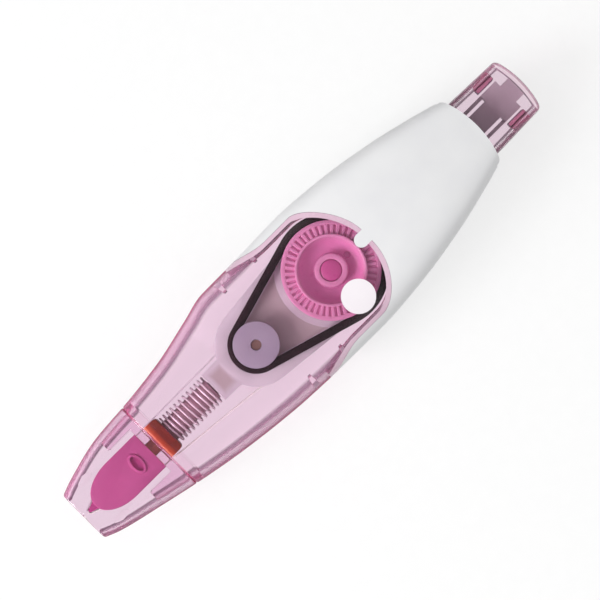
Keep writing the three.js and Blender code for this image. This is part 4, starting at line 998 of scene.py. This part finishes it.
def transfer_head():
    """The two plates, the wedge between them, the recessed boss and the shaft's socket."""
    quarter = np.linspace(0, math.pi / 2, 40)
    reach = np.r_[CURVE_LENGTH * (1 - np.cos(quarter)), HEAD_BACK_X - PLATE_X]
    plate = mirrored([(PLATE_X + d, plate_half_width(d)) for d in reach])
    tip_x = WEDGE_X + TIP_RADIUS
    wedge = mirrored([
        (tip_x - TIP_RADIUS * math.sin(a), TIP_RADIUS * math.cos(a))
        for a in np.radians(np.linspace(90, 0, 8))[1:]
    ] + [(x, wedge_half_width(x)) for x in np.linspace(tip_x, HEAD_BACK_X, 50)[1:]])
    (_, lower_top), (upper_foot, _) = PLATES
    plates = [bevelled(prism("plate", plate, z0, z1), 0.22) for z0, z1 in PLATES]
    head = prism("transfer_head_piece", wedge, lower_top - 0.2, upper_foot + 0.2)
    boss = bevelled(prism("boss", ellipse(BOSS_X, 0, 1.5, 2.5), 11.5, 12.15), 0.15)
    join(head, *plates, boss)
    recess = prism("recess", ellipse(BOSS_X, 0, 0.9, 1.9), 11.5, 13)
    return cut(head, recess, lengthwise("socket", 2.0, 17.6, 21.4))


def lengthwise(name, radius, x0, x1):
    """A round bar along the body at the head's height."""
    turn = np.linspace(0, 2 * math.pi, 48, endpoint=False)
    across, up = radius * np.cos(turn), HEAD_Z + radius * np.sin(turn)
    return loft(name, [np.column_stack([np.full_like(turn, x), across, up]) for x in (x0, x1)])


def tube(name, path, radius, sides, joined=False):
    """A round tube along a path."""
    path = np.array(path, float)
    if joined:
        along = np.roll(path, -1, axis=0) - np.roll(path, 1, axis=0)
    else:
        along = np.gradient(path, axis=0)
    along /= np.linalg.norm(along, axis=1)[:, None]
    turn = np.linspace(0, 2 * math.pi, sides, endpoint=False)
    rings, side = [], np.cross(along[0], (0.3, 0.2, 1.0))
    for point, way in zip(path, along):
        side = side - way * (side @ way)
        side /= np.linalg.norm(side)
        ring = np.outer(np.cos(turn), side) + np.outer(np.sin(turn), np.cross(way, side))
        rings.append(point + radius * ring)
    return loft(name, rings, joined)


def spring_coil():
    """The return spring, whose turns lie closer at both ends."""
    share = np.linspace(0, 1, SPRING_TURNS * 36 + 1)
    angle = share * SPRING_TURNS * 2 * math.pi
    eased = share - 0.1225 / (2 * math.pi) * np.sin(2 * math.pi * share)
    x = SPRING_X + SPRING_WIRE / 2 + (SPRING_LENGTH - SPRING_WIRE) * eased
    across, up = SPRING_RADIUS * np.cos(angle), HEAD_Z + SPRING_RADIUS * np.sin(angle)
    return tube("spring_coil", np.column_stack([x, across, up]), SPRING_WIRE / 2, 10)


def belt_loop():
    """The belt round both reels, with straight runs between them."""
    lean = math.acos((BELT_SMALL_RADIUS - BELT_LARGE_RADIUS) / (SUPPLY_X - TAKEUP_X))
    outline = arc(SUPPLY_X, 0, BELT_LARGE_RADIUS, -lean, lean, 72)
    outline += arc(TAKEUP_X, 0, BELT_SMALL_RADIUS, lean, 2 * math.pi - lean, 72)
    flat = evenly_spaced(np.array(outline), 260)
    path = np.column_stack([flat, np.full(len(flat), (GROOVE_Z + GROOVE_TOP) / 2)])
    return tube("belt_loop", path, BELT_CORD_RADIUS, 16, joined=True)


def wheel_profile(tooth):
    """The winder wheel's section. tooth is 1 on a tooth and 0 between teeth."""
    ring_z = WHEEL_FACE_Z - TOOTH_DEPTH * (1 - tooth)
    # The dish falls steeply at its rim and is level at the hub
    dish = [
        (r, 15.9 - 2.55 * (1 - ((r - 3.9) / 3.35) ** 2.2) ** 0.62)
        for r in np.linspace(7.25, 4.1, 12)
    ]
    return np.array([
        (1.9, TRAY_TOP), (3.1, TRAY_TOP), (3.1, PULLEY_Z), (10.55, PULLEY_Z), (10.8, 12.75),
        (10.8, 13.0), (10.65, GROOVE_Z), (10.3, GROOVE_Z), (10.3, GROOVE_TOP),
        (10.65, GROOVE_TOP), (10.8, 15.0), (10.8, 15.25), (10.72, 15.35),
        (10.55, WHEEL_FACE_Z), (9.95, WHEEL_FACE_Z), (9.85, 15.36),
        (9.8, ring_z), (9.6, ring_z), (8.0, ring_z), (7.85, ring_z),
        (7.82, 15.85), (7.75, 15.96), (7.62, WHEEL_TOP), (7.45, WHEEL_TOP), (7.32, 15.95),
        *dish,
        (3.95, 13.3), (3.7, 13.35), (3.62, 13.6), (3.6, 15.2), (3.52, 15.34),
        (3.38, WHEEL_FACE_Z), (2.6, WHEEL_FACE_Z), (2.46, 15.35), (2.4, 15.2),
        (2.4, HUB_Z), (1.9, HUB_Z),
    ])


def winder_wheel():
    """The winder wheel with its ring of teeth, dish and belt groove, and a dimple in the dish."""
    rings = []
    for i in range(TEETH * STEPS_PER_TOOTH):
        phase = abs(i / STEPS_PER_TOOTH % 1 - 0.5) * 2
        r, z = wheel_profile(min(max((0.7 - phase) / 0.22, 0), 1)).T
        a = 2 * math.pi * i / (TEETH * STEPS_PER_TOOTH)
        rings.append(np.column_stack([SUPPLY_X + r * math.cos(a), r * math.sin(a), z]))
    wheel = loft("winder_wheel_piece", rings, joined=True)
    dimple = [(0.001, 13.1), (0.5, 13.1), (0.72, 13.25), (0.8, 13.5), (0.8, 16), (0.001, 16)]
    return cut(wheel, turned("dimple", dimple, SUPPLY_X + 4.8, 48))


def hub_cap():
    top = WHEEL_FACE_Z
    return turned("hub_cap_piece", [
        (0.001, HUB_Z), (2.34, HUB_Z), (2.34, top - 0.45), (2.27, top - 0.25),
        (2.05, top - 0.12), (1.2, top - 0.03), (0.5, top), (0.001, top),
    ], SUPPLY_X, 96)


def takeup_pulley():
    return turned("takeup_pulley_piece", filleted([
        (1.16, TRAY_TOP), (2.1, TRAY_TOP), (2.1, PULLEY_Z), (4.6, PULLEY_Z), (4.6, GROOVE_Z),
        (4.1, GROOVE_Z), (4.1, GROOVE_TOP), (4.6, GROOVE_TOP), (5.05, 15.2),
        (5.05, WHEEL_FACE_Z), (1.16, WHEEL_FACE_Z),
    ], 0.15), TAKEUP_X, 128)


fitted(nose_shell(), CLEAR_PINK, "housing", "clear_pink", "nose_sleeve")
fitted(barrel_upper(), CLEAR_PINK, "housing", "clear_pink", "barrel_top")
fitted(barrel_lower(), CLEAR_PINK, "housing", "clear_pink", "barrel_bottom")
fitted(round_mark(), PRINT_WHITE, "housing", "tape_white")
fitted(window_rim(), RIM_PINK, "housing", "clear_pink")
fitted(cover_upper(), WHITE, "housing", "white_cover", "cover_top")
fitted(cover_lower(), WHITE, "housing", "white_cover", "cover_bottom")
fitted(button_shell(), CLEAR_BUTTON, "knock", "clear_button", "knock_button")
for side in (1, -1):
    fitted(button_rib(side), CLEAR_RIB, "knock", "clear_button")
fitted(transfer_head(), HEAD_PINK, "carriage", "head_pink", "transfer_head")
fitted(belt_loop(), RUBBER, "carriage", "belt_rubber", "drive_belt")
fitted(winder_wheel(), WHEEL_PINK, "winder", "wheel_pink", "winder_wheel")
fitted(hub_cap(), HUB_PINK, "carriage", "head_pink", "hub_cap")
fitted(takeup_pulley(), LILAC, "takeup", "lilac", "takeup_pulley")
coil = fitted(spring_coil(), STEEL, "housing", "spring_steel", "return_spring")
for piece in [o for o in bpy.data.objects if o.type == "MESH" and o.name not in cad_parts]:
    tidy_faces(piece)
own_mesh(coil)

dress("spring_seat", ORANGE_PAINTED_LIGHT_AND_SHADE, 0.3)
dress("head_shaft", SHAFT_MAUVE, 0.15)
dress("refill_tray", GREY_LILAC)
dress("refill_deck", DECK_LILAC, 0.15)
dress("tape_feed", FILM)
dress("tape_return", RIBBON)
dress("supply_core", GREY_LILAC)
dress("tape_roll", WOUND_FILM)
dress("clutch_ring", RUBBER)
dress("takeup_core", GREY_LILAC)
dress("used_ribbon", RIBBON)
dress("knock_rod", ROD_LILAC, 0.2)


# Floor, light and camera

# The floor's shade and glow as the camera sees it, its shade for other light, and how bright it
# is behind clear plastic at two distances in metres from the middle
FLOOR_SEEN = 0.30
FLOOR_GLOW = 0.69
FLOOR_BOUNCE = 0.5
FLOOR_BEHIND = [(0.08, 0.9), (0.14, 0.6)]

# The dome's brightness by the height of a direction, from 0 at the horizon to 1 straight above:
# as light, in reflections, and through clear plastic
DOME_LIGHT = [(0, 0.12), (0.45, 0.5), (1, 0.72)]
DOME_MIRROR = [(0, 0.3), (0.35, 0.9), (0.75, 0.9), (0.95, 0.12)]
DOME_BEHIND = [(0, 0.6), (0.3, 0.65), (0.6, 0.42), (1, 0.38)]

# The camera's lens and sensor in millimetres, and in metres the width of the picture and the
# point in its middle
LENS, SENSOR = 300, 36
VIEW_WIDTH = 0.12914
VIEW_MIDDLE = (-0.0006, 0.0002, 0.0093)
VIEW_TURN = -44.9
BOUNCES = 48


def floor():
    mesh = bpy.data.meshes.new("floor")
    form = bmesh.new()
    bmesh.ops.create_grid(form, x_segments=8, y_segments=8, size=1.2)
    form.to_mesh(mesh)
    form.free()
    made = bpy.data.objects.new("floor", mesh)
    bpy.context.scene.collection.objects.link(made)
    nodes = Nodes("floor_white")
    grain = nodes.span(nodes.noise(3, 3), 0, 1)
    paper_shades = [(FLOOR_SEEN - less,) * 3 + (1,) for less in (0, 0.01)]
    seen_paper = nodes.mix(grain, *paper_shades)
    path = nodes.add("ShaderNodeLightPath").outputs
    seen = nodes.maths("MAXIMUM", path["Is Camera Ray"], path["Is Glossy Ray"])
    paper = nodes.add("ShaderNodeBsdfDiffuse", links={
        "Color": nodes.mix(seen, (FLOOR_BOUNCE, FLOOR_BOUNCE, FLOOR_BOUNCE, 1), seen_paper),
    })
    glow = nodes.add("ShaderNodeEmission", {"Color": (1, 1, 1, 1), "Strength": FLOOR_GLOW})
    bright = nodes.add("ShaderNodeAddShader", links={0: paper.outputs[0], 1: glow.outputs[0]})
    away = nodes.add("ShaderNodeVectorMath", links={0: nodes.place}, operation="LENGTH")
    (near, bright_there), (far, dim_there) = FLOOR_BEHIND
    fading = nodes.span(away.outputs["Value"], bright_there, dim_there, (near, far))
    lit_from_below = nodes.add("ShaderNodeEmission", {"Color": (1, 1, 1, 1)}, {"Strength": fading})
    own = nodes.add("ShaderNodeMixShader", links={
        0: seen, 1: paper.outputs[0], 2: bright.outputs[0],
    })
    through = nodes.maths("MAXIMUM", path["Is Transmission Ray"], path["Is Glossy Ray"])
    mixed = nodes.add("ShaderNodeMixShader", links={
        0: through, 1: own.outputs[0], 2: lit_from_below.outputs[0],
    })
    mesh.materials.append(nodes.finish(mixed.outputs[0]))


def lamp(name, power, width, depth, place):
    """A flat lamp that faces the middle of the part."""
    light = bpy.data.lights.new(name, "AREA")
    light.shape = "RECTANGLE"
    light.size, light.size_y = width, depth
    light.energy = power
    made = bpy.data.objects.new(name, light)
    bpy.context.scene.collection.objects.link(made)
    made.location = place
    made.rotation_euler = made.location.to_track_quat("Z", "Y").to_euler()


def surroundings():
    """A pale dome, dimmer towards the horizon. Reflections see a dim patch straight above,
    where the camera looks in, so that the clear plastic stays clear."""
    world = bpy.data.worlds.new("surroundings")
    world.use_nodes = True
    tree = world.node_tree
    tree.nodes.clear()

    def add(kind, links=None, **settings):
        node = tree.nodes.new(kind)
        for name, value in settings.items():
            setattr(node, name, value)
        for socket, source in (links or {}).items():
            tree.links.new(source, node.inputs[socket])
        return node

    def dome(stops):
        """Light by the height of a direction."""
        ramp = add("ShaderNodeValToRGB", {"Fac": up})
        points = ramp.color_ramp.elements
        while len(points) < len(stops):
            points.new(0.5)
        for point, (at, light) in zip(points, stops):
            point.position = at
            point.color = (light, light, light, 1)
        return add("ShaderNodeBackground", {"Color": ramp.outputs[0]}).outputs[0]

    path = add("ShaderNodeLightPath").outputs
    way = add("ShaderNodeTexCoord").outputs["Generated"]
    up = add("ShaderNodeSeparateXYZ", {0: way}).outputs["Z"]
    white = add("ShaderNodeBackground")
    white.inputs["Color"].default_value = (1, 1, 1, 1)
    shown = dome(DOME_LIGHT)
    for kind, background in (
        ("Is Glossy Ray", dome(DOME_MIRROR)),
        ("Is Transmission Ray", dome(DOME_BEHIND)),
        ("Is Camera Ray", white.outputs[0]),
    ):
        shown = add("ShaderNodeMixShader", {0: path[kind], 1: shown, 2: background}).outputs[0]
    add("ShaderNodeOutputWorld", {0: shown})
    bpy.context.scene.world = world


def camera():
    """Straight down on the window side, with the nose at the lower left."""
    data = bpy.data.cameras.new("camera")
    data.lens, data.sensor_width = LENS, SENSOR
    data.clip_start, data.clip_end = 0.01, 10
    made = bpy.data.objects.new("camera", data)
    bpy.context.scene.collection.objects.link(made)
    x, y, z = VIEW_MIDDLE
    made.location = (x, y, z + VIEW_WIDTH * LENS / SENSOR)
    made.rotation_euler = (0, 0, math.radians(VIEW_TURN))
    bpy.context.scene.camera = made


floor()
surroundings()
lamp("key", power=5.0, width=0.34, depth=0.34, place=(-0.62, 0.18, 0.36))
lamp("side", power=0.6, width=0.5, depth=0.3, place=(0.55, -0.40, 0.40))
camera()
cycles = bpy.context.scene.cycles
cycles.max_bounces = BOUNCES
cycles.glossy_bounces = BOUNCES
cycles.transmission_bounces = BOUNCES
cycles.transparent_max_bounces = 16
bpy.context.scene.view_settings.view_transform = "Standard"
